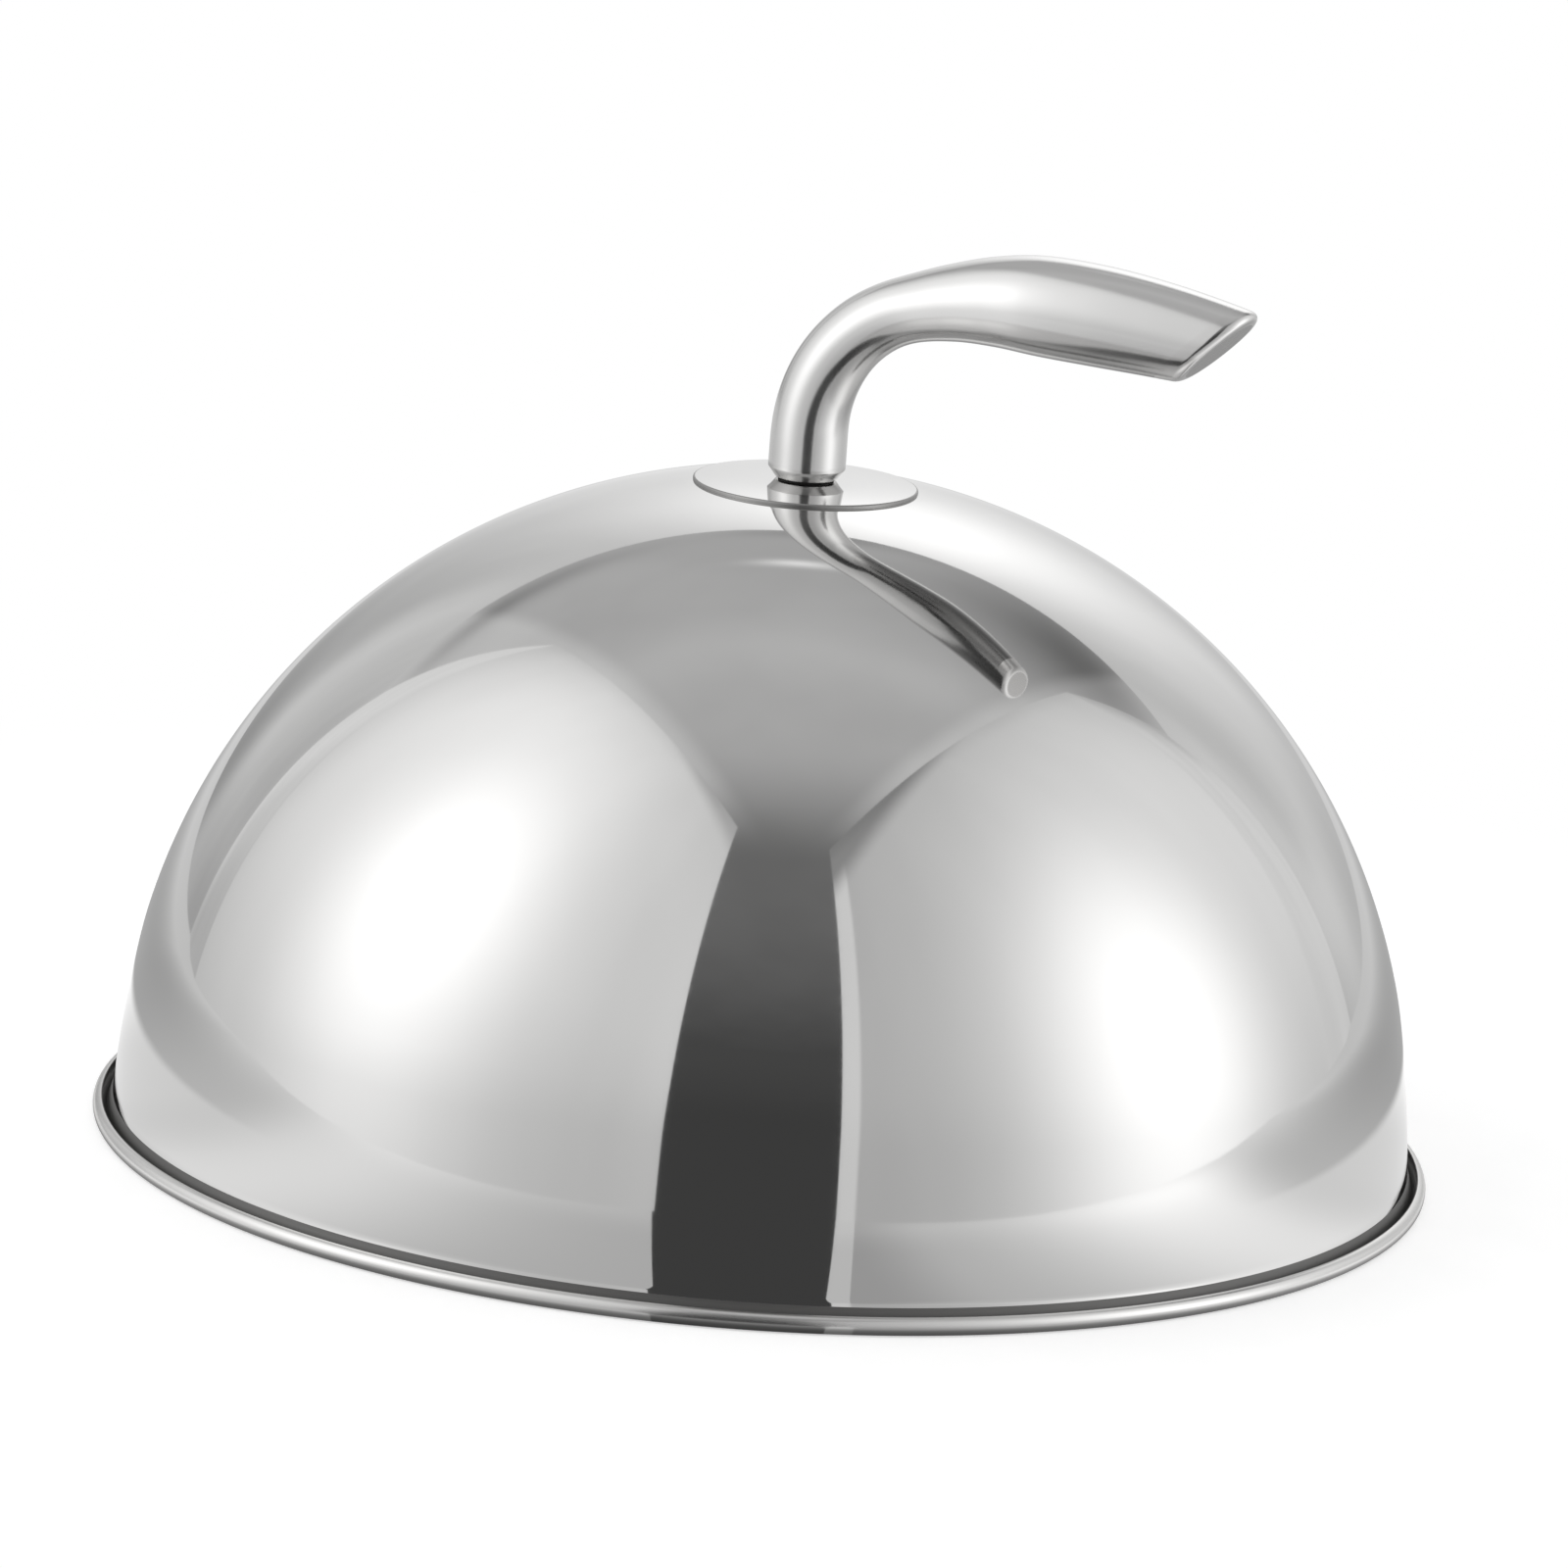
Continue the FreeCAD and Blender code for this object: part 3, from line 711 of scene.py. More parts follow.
@dataclass
class DomeShell:
    """The spun dome, with its seat, gently coned skirt and rolled rim. Sizes are in metres.

    A lean is how far the sheet's outward normal tips up from level.
    """

    rim_radius: float = 150.0 * MM
    bead_radius: float = 2.0 * MM
    bead_centre_height: float = 1.9 * MM
    sheet: float = 0.8 * MM
    arc_centre: tuple[float, float] = (1.39 * MM, 9.5 * MM)
    arc_radius: float = 143.2 * MM
    shoulder_lean: float = math.radians(15.6)
    shoulder_radius: float = 105.0 * MM
    skirt_lean: float = math.radians(10.0)
    skirt_radius: float = 327.0 * MM
    skirt_foot_lean: float = math.radians(4.2)
    curl_end: float = math.radians(90.0)
    seat_radius: float = 25.6 * MM
    seat_arc_radius: float = 162.5 * MM
    land_radius: float = 9.0 * MM
    crown: float = 151.5 * MM
    hole_radius: float = 3.2 * MM
    # Below this height, faces by the bead take the painted shade of the groove.
    hidden_below: float = 5.1 * MM
    roll_inside_radius: float = 148.25 * MM
    bead_reach: float = 1.25
    land_steps: int = 2
    seat_steps: int = 12
    wall_steps: tuple[int, int, int] = (88, 12, 20)
    curl_line_steps: int = 4
    curl_steps: int = 24
    bead_steps: int = 30
    bead_end_steps: int = 5
    inner_steps: tuple[int, int, int] = (44, 6, 10)
    inner_seat_steps: int = 6
    around: int = 256

    def seat_height(self) -> float:
        """Give the height at which the dome's arc meets the seat."""
        across, up = self.arc_centre
        return up + math.sqrt(self.arc_radius**2 - (self.seat_radius - across) ** 2)

    def curl_centre(self) -> tuple[float, float]:
        """Give the middle of the rolled bead's section."""
        return self.rim_radius - self.bead_radius, self.bead_centre_height

    def on_curl(self, radius: float, angle: float) -> tuple[float, float]:
        """Give the point at a radius and an angle round the middle of the bead's section."""
        across, up = self.curl_centre()
        return across + radius * math.cos(angle), up + radius * math.sin(angle)

    def wall(self) -> list[tuple[float, float, float]]:
        """Give the outer wall's joints from the seat down, each as radius, height and lean."""
        across, up = self.arc_centre
        seat_lean = math.acos((self.seat_radius - across) / self.arc_radius)
        joints = [(self.seat_radius, self.seat_height(), seat_lean)]
        lean = self.shoulder_lean
        across += self.arc_radius * math.cos(lean)
        up += self.arc_radius * math.sin(lean)
        joints.append((across, up, lean))
        for radius, next_lean in (
            (self.shoulder_radius, self.skirt_lean),
            (self.skirt_radius, self.skirt_foot_lean),
        ):
            across += radius * (math.cos(next_lean) - math.cos(lean))
            up += radius * (math.sin(next_lean) - math.sin(lean))
            lean = next_lean
            joints.append((across, up, lean))
        return joints

    def curl_lean(self) -> float:
        """Give the lean of the line that runs from the skirt's foot into the rolled bead."""
        across, up, _ = self.wall()[-1]
        centre = self.curl_centre()
        reach = math.hypot(centre[0] - across, centre[1] - up)
        drop = math.atan2(up - centre[1], centre[0] - across)
        bore = self.bead_radius - self.sheet
        return math.pi / 2.0 - drop - math.asin(bore / reach)

    def draw(self, mesh: Mesh) -> None:
        """Draw the section from the screw hole out over the dome, round the rim and back."""
        outer = self.wall()
        inner = [
            (across - self.sheet * math.cos(lean), up - self.sheet * math.sin(lean))
            for across, up, lean in outer
        ]
        radii = (self.arc_radius, self.shoulder_radius, self.skirt_radius)
        curl = self.curl_centre()
        bore = self.bead_radius - self.sheet
        start = math.pi + self.curl_lean()
        land_angle = math.asin(curl[1] / self.bead_radius)
        land = self.bead_radius * math.cos(land_angle)
        pen = ProfilePen(mesh, self.hole_radius, self.crown)
        pen.line_to(self.land_radius, self.crown, self.land_steps)
        pen.arc_to(*outer[0][:2], -self.seat_arc_radius, self.seat_steps)
        for joint, radius, count in zip(outer[1:], radii, self.wall_steps):
            pen.arc_to(*joint[:2], -radius, count)
        pen.line_to(*self.on_curl(bore, start), self.curl_line_steps)
        pen.turn(curl, math.tau + self.curl_end - start, self.curl_steps)
        pen.line_to(*self.on_curl(self.bead_radius, self.curl_end))
        pen.turn(curl, -land_angle - self.curl_end, self.bead_steps)
        pen.line_to(curl[0] - land, 0.0)
        pen.turn(curl, start - math.pi - land_angle, self.bead_end_steps)
        pen.line_to(*inner[-1], self.curl_line_steps)
        for joint, radius, count in zip(inner[-2::-1], radii[::-1], self.inner_steps[::-1]):
            pen.arc_to(*joint, radius - self.sheet, count)
        inner_crown = self.crown - self.sheet
        inner_arc = self.seat_arc_radius - self.sheet
        pen.arc_to(self.land_radius, inner_crown, inner_arc, self.inner_seat_steps)
        pen.line_to(self.hole_radius, inner_crown)
        pen.line_to(self.hole_radius, self.crown)
        pen.spin_closed(self.around)

    def kind(self, face: bmesh.types.BMFace) -> DomeFace:
        """Tell which kind of face one is, by where it lies and which way it looks."""
        place = face.calc_center_median()
        centre = self.curl_centre()
        across = place.xy.length
        from_curl = math.hypot(across - centre[0], place.z - centre[1])
        by_bead = across > centre[0] - self.bead_radius * self.bead_reach
        low = by_bead and place.z < self.hidden_below
        on_bead = from_curl > self.bead_radius - self.sheet / 4.0
        if low and on_bead and (place.z < centre[1] or across > self.roll_inside_radius):
            return DomeFace.BEAD
        # Painted shade: faces in the groove and at the wall's foot take the dark finish.
        if low and place.z > self.sheet / 2.0 and across > self.wall()[-1][0] - self.sheet / 2.0:
            return DomeFace.ROLLED_PAINTED_SHADE
        away = face.normal.dot(place - Vector((0.0, 0.0, self.arc_centre[1])))
        return DomeFace.OUTSIDE if away > 0.0 else DomeFace.INSIDE

    def build(self, workshop: Workshop) -> bpy.types.Object:
        """Make the dome, mirror-polished outside and satin inside, with painted shade in the groove
        of its rolled rim.
        """
        mesh = bmesh.new()
        self.draw(mesh)
        mesh.normal_update()
        for face in mesh.faces:
            face.material_index = self.kind(face).value
        return workshop.piece(
            "dome_shell_spun",
            mesh,
            "dome_steel",
            ("dome_shell",),
            DOME_OUTSIDE,
            DOME_INSIDE,
            RIM_BEAD,
            ROLLED_PAINTED_SHADE,
        )


@dataclass
class CrownPlate:
    """The thin dished plate on the crown, with a dull cut edge whose dark tone is partly painted
    shade.
    """

    dome: DomeShell
    radius: float = 25.0 * MM
    sheet: float = 0.8 * MM
    drop: float = 0.79 * MM
    arc_radius: float = 162.5 * MM
    edge_round: float = 0.42 * MM
    top_steps: int = 16
    edge_steps: int = 8
    bottom_steps: int = 10
    around: int = 192

    def top(self) -> float:
        """Give the height of the plate's flat middle."""
        return self.dome.crown + self.sheet

    def build(self, workshop: Workshop) -> bpy.types.Object:
        """Make the plate."""
        crown = self.dome.crown
        bottom = crown - self.drop
        land = self.dome.land_radius
        rim = self.radius - self.edge_round
        round_centre = bottom + self.sheet - self.edge_round
        mesh = bmesh.new()
        pen = ProfilePen(mesh, self.dome.hole_radius, self.top())
        pen.line_to(land, self.top(), 2)
        pen.arc_to(rim, bottom + self.sheet, -self.arc_radius, self.top_steps)
        pen.turn((rim, round_centre), -math.pi / 2.0, self.edge_steps)
        pen.line_to(self.radius, bottom)
        pen.arc_to(land, crown, self.arc_radius, self.bottom_steps)
        pen.line_to(self.dome.hole_radius, crown)
        pen.line_to(self.dome.hole_radius, self.top())
        pen.spin_closed(self.around)
        mesh.normal_update()
        for face in mesh.faces:
            place = face.calc_center_median()
            face.material_index = int(place.xy.length > rim)
        return workshop.piece(
            "crown_plate_pressed", mesh, "plate_steel", ("crown_plate",), PLATE_MIRROR, CUT_EDGE
        )


@dataclass
class FootSeal:
    """The thin rubber washer squeezed under the handle's foot. Its near-black tone is partly
    painted shade: it stands in for the dark contact line under the foot.
    """

    bottom: float
    thickness: float = 0.4 * MM
    radius: float = 6.2 * MM
    bulge: float = 0.12 * MM
    hole_radius: float = 3.3 * MM
    around: int = 96

    def build(self, workshop: Workshop) -> bpy.types.Object:
        """Make the washer, with its squeezed edge slightly bulged."""
        mesh = bmesh.new()
        top = self.bottom + self.thickness
        side = self.radius - self.bulge
        pen = ProfilePen(mesh, self.hole_radius, top)
        pen.line_to(side, top, 2)
        pen.line_to(self.radius, top - self.bulge)
        pen.line_to(self.radius, self.bottom + self.bulge)
        pen.line_to(side, self.bottom)
        pen.line_to(self.hole_radius, self.bottom, 2)
        pen.line_to(self.hole_radius, top)
        pen.spin_closed(self.around)
        return workshop.piece(
            "foot_seal_squeezed", mesh, "dark_rubber", ("foot_seal",), DARK_RUBBER_AND_FOOT_SHADE
        )


@dataclass
class HandleFoot:
    """The turned, chamfered foot and the spigot that goes up inside the post."""

    bottom: float
    post_bottom: float
    post_radius: float
    bottom_radius: float = 6.9 * MM
    chamfer_height: float = 2.3 * MM
    spigot_bottom: float = 7.5 * MM
    spigot_top: float = 7.0 * MM
    spigot_length: float = 9.8 * MM
    thread_radius: float = 3.0 * MM
    bore_side: float = 4.5 * MM
    edge_round: float = 0.15 * MM
    edge_steps: int = 3
    sharp: float = math.radians(30.0)
    around: int = 128

    def build(self, workshop: Workshop) -> bpy.types.Object:
        """Make the foot, with its turned edges slightly rounded."""
        top = self.post_bottom
        end = top + self.spigot_length
        mesh = bmesh.new()
        pen = ProfilePen(mesh, self.thread_radius, self.bottom)
        pen.line_to(self.bottom_radius, self.bottom, 2)
        pen.line_to(self.post_radius, self.bottom + self.chamfer_height, 3)
        pen.line_to(self.post_radius, top)
        pen.line_to(self.spigot_bottom, top)
        pen.line_to(self.spigot_top, end)
        pen.line_to(self.thread_radius, end)
        pen.line_to(self.thread_radius, self.bottom)
        pen.spin_closed(self.around)
        turned_edges = [
            edge
            for edge in mesh.edges
            if edge.calc_face_angle(0.0) > self.sharp
            and all(vert.co.z < top - self.edge_round for vert in edge.verts)
            and all(vert.co.xy.length > self.bore_side for vert in edge.verts)
        ]
        round_edges(mesh, turned_edges, self.edge_round, self.edge_steps)
        return workshop.piece(
            "handle_foot_turned", mesh, "handle_steel", ("handle_foot",), HANDLE_MIRROR
        )


@dataclass(frozen=True)
class Stretch:
    """A stretch of the handle's path: its length and how sharply it bends."""

    length: float
    curvature: float


@dataclass
class HornPath:
    """The middle line of the handle, up the post, round the bend and out along the arm."""

    start_height: float
    post_straight: float = 6.5 * MM
    bend_radius: float = 32.5 * MM
    bend_turn: float = math.radians(71.0)
    crown_radius: float = 98.4 * MM
    droop_radius: float = 340.0 * MM
    arm_length: float = 76.0 * MM
    arm_spacing: float = 14.0 * MM
    blend: float = 5.0 * MM
    step: float = 0.25 * MM
    post_radii: tuple[float, ...] = (8.6 * MM, 8.55 * MM)
    bend_radii: tuple[float, ...] = (8.15 * MM, 7.65 * MM, 7.5 * MM)
    crown_radii: tuple[float, ...] = (8.5 * MM, 9.9 * MM, 10.98 * MM)
    arm_radii: tuple[float, ...] = (11.07 * MM, 10.5 * MM, 9.6 * MM, 8.6 * MM)
    points: list[tuple[float, float, float]] = field(default_factory=list)
    stations: list[tuple[float, float]] = field(default_factory=list)

    def __post_init__(self) -> None:
        """Work out the stations of the section radius and the path's points."""
        bend = self.bend_radius * self.bend_turn
        crown = self.crown_radius * (math.pi / 2.0 - self.bend_turn)
        stretches = (
            Stretch(self.post_straight, 0.0),
            Stretch(bend, 1.0 / self.bend_radius),
            Stretch(crown, 1.0 / self.crown_radius),
            Stretch(self.arm_length, 1.0 / self.droop_radius),
        )
        self.stations = [(0.0, self.post_radii[0]), (self.post_straight, self.post_radii[1])]
        for radii, spacing in (
            (self.bend_radii, bend / len(self.bend_radii)),
            (self.crown_radii, crown / len(self.crown_radii)),
            (self.arm_radii, self.arm_spacing),
        ):
            for radius in radii:
                self.stations.append((self.stations[-1][0] + spacing, radius))
        self.walk(stretches)

    def bending(self, along: float, stretches: tuple[Stretch, ...]) -> float:
        """Give the curvature at a distance along, eased over each change of radius."""
        value = stretches[0].curvature
        edge = 0.0
        for before, after in zip(stretches, stretches[1:]):
            edge += before.length
            share = (along - edge + self.blend) / (2.0 * self.blend)
            share = min(max(share, 0.0), 1.0)
            eased = share * share * (3.0 - 2.0 * share)
            value += (after.curvature - before.curvature) * eased
        return value

    def walk(self, stretches: tuple[Stretch, ...]) -> None:
        """Follow the curvature in small steps and keep each step's place and tilt."""
        total = sum(stretch.length for stretch in stretches)
        reach, height, tilt = 0.0, self.start_height, 0.0
        for number in range(int(total / self.step) + 1):
            self.points.append((reach, height, tilt))
            middle = tilt + self.bending(number * self.step, stretches) * self.step / 2.0
            reach += math.sin(middle) * self.step
            height += math.cos(middle) * self.step
            tilt += self.bending((number + 0.5) * self.step, stretches) * self.step

    def at(self, along: float) -> tuple[float, float, float]:
        """Give the reach, height and tilt at a distance along the path."""
        place = min(max(along / self.step, 0.0), len(self.points) - 1.001)
        number = int(place)
        share = place - number
        first, second = self.points[number], self.points[number + 1]
        return tuple(a + (b - a) * share for a, b in zip(first, second))

    def radius(self, along: float) -> float:
        """Give the section's radius at a distance along, on a smooth curve through the stations."""
        places = [place for place, _ in self.stations]
        number = min(max(bisect_right(places, along) - 1, 0), len(places) - 2)
        (low, start), (high, end) = self.stations[number], self.stations[number + 1]
        width = high - low
        share = (along - low) / width
        first, last = self.slope(number) * width, self.slope(number + 1) * width
        if share > 1.0:
            return end + last * (share - 1.0)
        return (
            start * (2 * share**3 - 3 * share**2 + 1)
            + first * (share**3 - 2 * share**2 + share)
            + end * (3 * share**2 - 2 * share**3)
            + last * (share**3 - share**2)
        )

    def slope(self, number: int) -> float:
        """Give the rate at which the radius changes at a station."""
        before = self.stations[max(number - 1, 0)]
        after = self.stations[min(number + 1, len(self.stations) - 1)]
        return (after[1] - before[1]) / (after[0] - before[0])

    def surface(self, along: float, angle: float, inset: float) -> Vector:
        """Give a point of the horn's skin.

        Args:
            along: the distance along the path.
            angle: the angle round the section, from its outer side.
            inset: how far the point lies inside the skin.

        Returns:
            The point, in metres.
        """
        reach, height, tilt = self.at(along)
        radius = self.radius(along) - inset
        outward = radius * math.cos(angle)
        return Vector(
            (
                reach - outward * math.cos(tilt),
                radius * math.sin(angle),
                height + outward * math.sin(tilt),
            )
        )


@dataclass
class Horn:
    """The hollow horn of the handle and the cap on its slanted end."""

    path: HornPath
    wall: float = 1.2 * MM
    end_reach: float = 97.7 * MM
    end_height: float = 196.0 * MM
    end_slant: float = math.radians(45.0)
    cap_thickness: float = 4.2 * MM
    lip_width: float = 3.0 * MM
    lip_hold: float = 0.25 * MM
    lip_steps: int = 9
    halvings: int = 40
    face_flatness: float = 0.999
    around: int = 128
    rings: int = 150
    tilt_from: float = 55.0 * MM

    def outward(self) -> Vector:
        """Give the direction that the slanted end faces."""
        return Vector((math.sin(self.end_slant), 0.0, -math.cos(self.end_slant)))

    def length_at(self, angle: float, back_off: float, inset: float) -> float:
        """Give the distance along the path at which the skin meets a plane behind the end.

        Args:
            angle: the angle round the section.
            back_off: the plane's distance behind the slanted end.
            inset: how far inside the skin to look.

        Returns:
            The distance along the path.
        """
        face = Vector((self.end_reach, 0.0, self.end_height))
        low, high = self.tilt_from, self.path.step * (len(self.path.points) - 2)
        for _ in range(self.halvings):
            middle = (low + high) / 2.0
            point = self.path.surface(middle, angle, inset)
            if (point - face).dot(self.outward()) < -back_off:
                low = middle
            else:
                high = middle
        return (low + high) / 2.0

    def skin(self, mesh: Mesh, inset: float) -> tuple[list, list]:
        """Sweep the horn's skin from its foot to the seam, tilting the last rings to the seam.

        Args:
            mesh: the mesh that the skin goes into.
            inset: how far the skin lies inside the outside.

        Returns:
            The first and the last loop of edges.
        """
        layers = mesh.verts.layers.float
        for name in (SHADE_UNDERSIDE, TURN):
            turn = layers.get(name) or layers.new(name)
        ring = bmesh.ops.create_circle(mesh, segments=self.around, radius=1.0)["verts"]
        ends = {}
        for number, vert in enumerate(ring):
            vert[turn] = float(number)
            angle = math.tau * number / self.around
            ends[number] = self.length_at(angle, self.cap_thickness, inset)
        axis_end = sum(ends.values()) / len(ends)
        edges = list({edge for vert in ring for edge in vert.link_edges})
        first = edges
        self.place_ring(mesh, ring, 0.0, 0.0, ends, axis_end, inset)
        for step in range(1, self.rings + 1):
            made = bmesh.ops.extrude_edge_only(mesh, edges=edges)["geom"]
            ring = [part for part in made if isinstance(part, bmesh.types.BMVert)]
            edges = [part for part in made if isinstance(part, bmesh.types.BMEdge)]
            along = axis_end * step / self.rings
            lean = max(along - self.tilt_from, 0.0) / (axis_end - self.tilt_from)
            self.place_ring(mesh, ring, along, lean * lean, ends, axis_end, inset)
        return first, edges

    def place_ring(
        self,
        mesh: Mesh,
        ring: list,
        along: float,
        lean: float,
        ends: dict[int, float],
        axis_end: float,
        inset: float,
    ) -> None:
        """Put one ring of vertices on the skin, part of the way towards the seam's tilt.

        Each vertex also keeps how squarely it faces down under the arm, which sets the painted
        shade there.
        """
        turn, shade_underside = (mesh.verts.layers.float[name] for name in (TURN, SHADE_UNDERSIDE))
        for vert in ring:
            number = round(vert[turn])
            angle = math.tau * number / self.around
            reached = along + (ends[number] - axis_end) * lean
            vert.co = self.path.surface(reached, angle, inset)
            vert[shade_underside] = max(-math.cos(angle), 0.0) * math.sin(self.path.at(reached)[2])

    def build_shell(self, workshop: Workshop) -> bpy.types.Object:
        """Make the horn with its wall, open at the foot and at the seam of the cap."""
        mesh = bmesh.new()
        outer_first, outer_last = self.skin(mesh, 0.0)
        inner_first, inner_last = self.skin(mesh, self.wall)
        bmesh.ops.bridge_loops(mesh, edges=outer_first + inner_first)
        bmesh.ops.bridge_loops(mesh, edges=outer_last + inner_last)
        bmesh.ops.recalc_face_normals(mesh, faces=mesh.faces[:])
        return workshop.piece(
            "handle_shell_horn", mesh, "handle_steel", ("handle_shell",), HANDLE_MIRROR
        )

    def build_cap(self, workshop: Workshop) -> bpy.types.Object:
        """Make the cap: a slanted slice of the horn, with a rounded lip round its flat face."""
        mesh = bmesh.new()
        ring = bmesh.ops.create_circle(mesh, segments=self.around, radius=1.0)["verts"]
        angles = [math.tau * number / self.around for number in range(self.around)]
        for vert, angle in zip(ring, angles):
            seam = self.length_at(angle, self.cap_thickness, 0.0)
            vert.co = self.path.surface(seam, angle, 0.0)
        edges = list({edge for vert in ring for edge in vert.link_edges})
        bmesh.ops.edgeloop_fill(mesh, edges=edges)
        made = bmesh.ops.extrude_edge_only(mesh, edges=edges)["geom"]
        lip = [part for part in made if isinstance(part, bmesh.types.BMVert)]
        lip_edges = [part for part in made if isinstance(part, bmesh.types.BMEdge)]
        for vert in lip:
            back = next(e.other_vert(vert) for e in vert.link_edges if e not in lip_edges)
            angle = angles[ring.index(back)]
            vert.co = self.path.surface(self.length_at(angle, 0.0, 0.0), angle, 0.0)
        bmesh.ops.edgeloop_fill(mesh, edges=lip_edges)
        bmesh.ops.recalc_face_normals(mesh, faces=mesh.faces[:])
        round_edges(mesh, lip_edges, self.lip_width, self.lip_steps, "WIDTH", True)
        mesh.normal_update()
        level = self.face_flatness
        facing = [face for face in mesh.faces if face.normal.dot(self.outward()) > level]
        flat = max(facing, key=lambda face: face.calc_area())
        bmesh.ops.inset_individual(mesh, faces=[flat], thickness=self.lip_hold)
        # The flat face takes the ground finish with its painted shade.
        flat.material_index = 1
        return workshop.piece(
            "handle_end_cap_lipped", mesh, "cap_steel", ("handle_end_cap",), CAP_POLISH, CAP_FACE
        )


@dataclass(frozen=True)
class Cloth:
    """One cloth of the light tent, its corners given from the camera's side.

    The fade is the line, as a height along the cloth, above which it turns over into the ceiling.
    """

    name: str
    front_foot: tuple[float, float]
    rear_foot: tuple[float, float]
    rear_top: tuple[float, float]
    front_top: tuple[float, float]
    level: float
    low_level: float
    patches: tuple[Patch, ...] = ()
    hem_width: float = 0.0
    hem_gain: float = 0.0
    fade: Line | None = None
    turned_level: float = 0.0


@dataclass
class Camera:
    """The camera that sees the cover as the photograph does."""

    azimuth: float = math.radians(26.0)
    elevation: float = math.radians(13.171)
    roll: float = math.radians(4.026)
    distance: float = 2.0
    aim_height: float = 82.713 * MM
    aim_right: float = -0.107 * MM
    lens: float = 205.84
    sensor: float = 36.0
    nearest: float = 0.05
    farthest: float = 100.0

    def right(self) -> Vector:
        """Give the direction to the right of the picture, before the roll."""
        return Vector((math.cos(self.azimuth), math.sin(self.azimuth), 0.0))

    def away(self) -> Vector:
        """Give the level direction away from the camera."""
        return Vector((-math.sin(self.azimuth), math.cos(self.azimuth), 0.0))

    def build(self) -> bpy.types.Object:
        """Make the camera and let the scene look through it."""
        back = UP * math.sin(self.elevation) - self.away() * math.cos(self.elevation)
        right = self.right()
        up = back.cross(right)
        rolled_right = right * math.cos(self.roll) + up * math.sin(self.roll)
        rolled_up = up * math.cos(self.roll) - right * math.sin(self.roll)
        aim = right * self.aim_right + UP * self.aim_height
        data = bpy.data.cameras.new("photo_camera")
        data.lens = self.lens
        data.sensor_width = self.sensor
        data.clip_start = self.nearest
        data.clip_end = self.farthest
        camera = bpy.data.objects.new("photo_camera", data)
        turn = Matrix((rolled_right, rolled_up, back)).transposed().to_4x4()
        camera.matrix_world = Matrix.Translation(aim + back * self.distance) @ turn
        bpy.context.scene.collection.objects.link(camera)
        bpy.context.scene.camera = camera
        return camera


@dataclass
class Stagehand:
    """Makes stage objects at places given from the camera's side, and measures on them."""

    camera: Camera

    def place(self, right: float, back: float, height: float) -> Vector:
        """Turn a place given from the camera's side into one of the frame."""
        return self.camera.right() * right + self.camera.away() * back + UP * height

    def stage_object(
        self, name: str, mesh: Mesh, material: bpy.types.Material
    ) -> bpy.types.Object:
        """Make a stage object from a mesh."""
        data = bpy.data.meshes.new(name)
        mesh.to_mesh(data)
        mesh.free()
        data.materials.append(material)
        made = bpy.data.objects.new(name, data)
        bpy.context.scene.collection.objects.link(made)
        return made

    def measured(self, graph: Graph, direction: Vector, start: float = 0.0) -> Socket:
        """Give how far the surface point lies along a direction, from a start."""
        reach = graph.vectors("DOT_PRODUCT", graph.place(), tuple(direction))
        return graph.maths("SUBTRACT", reach, start) if start else reach


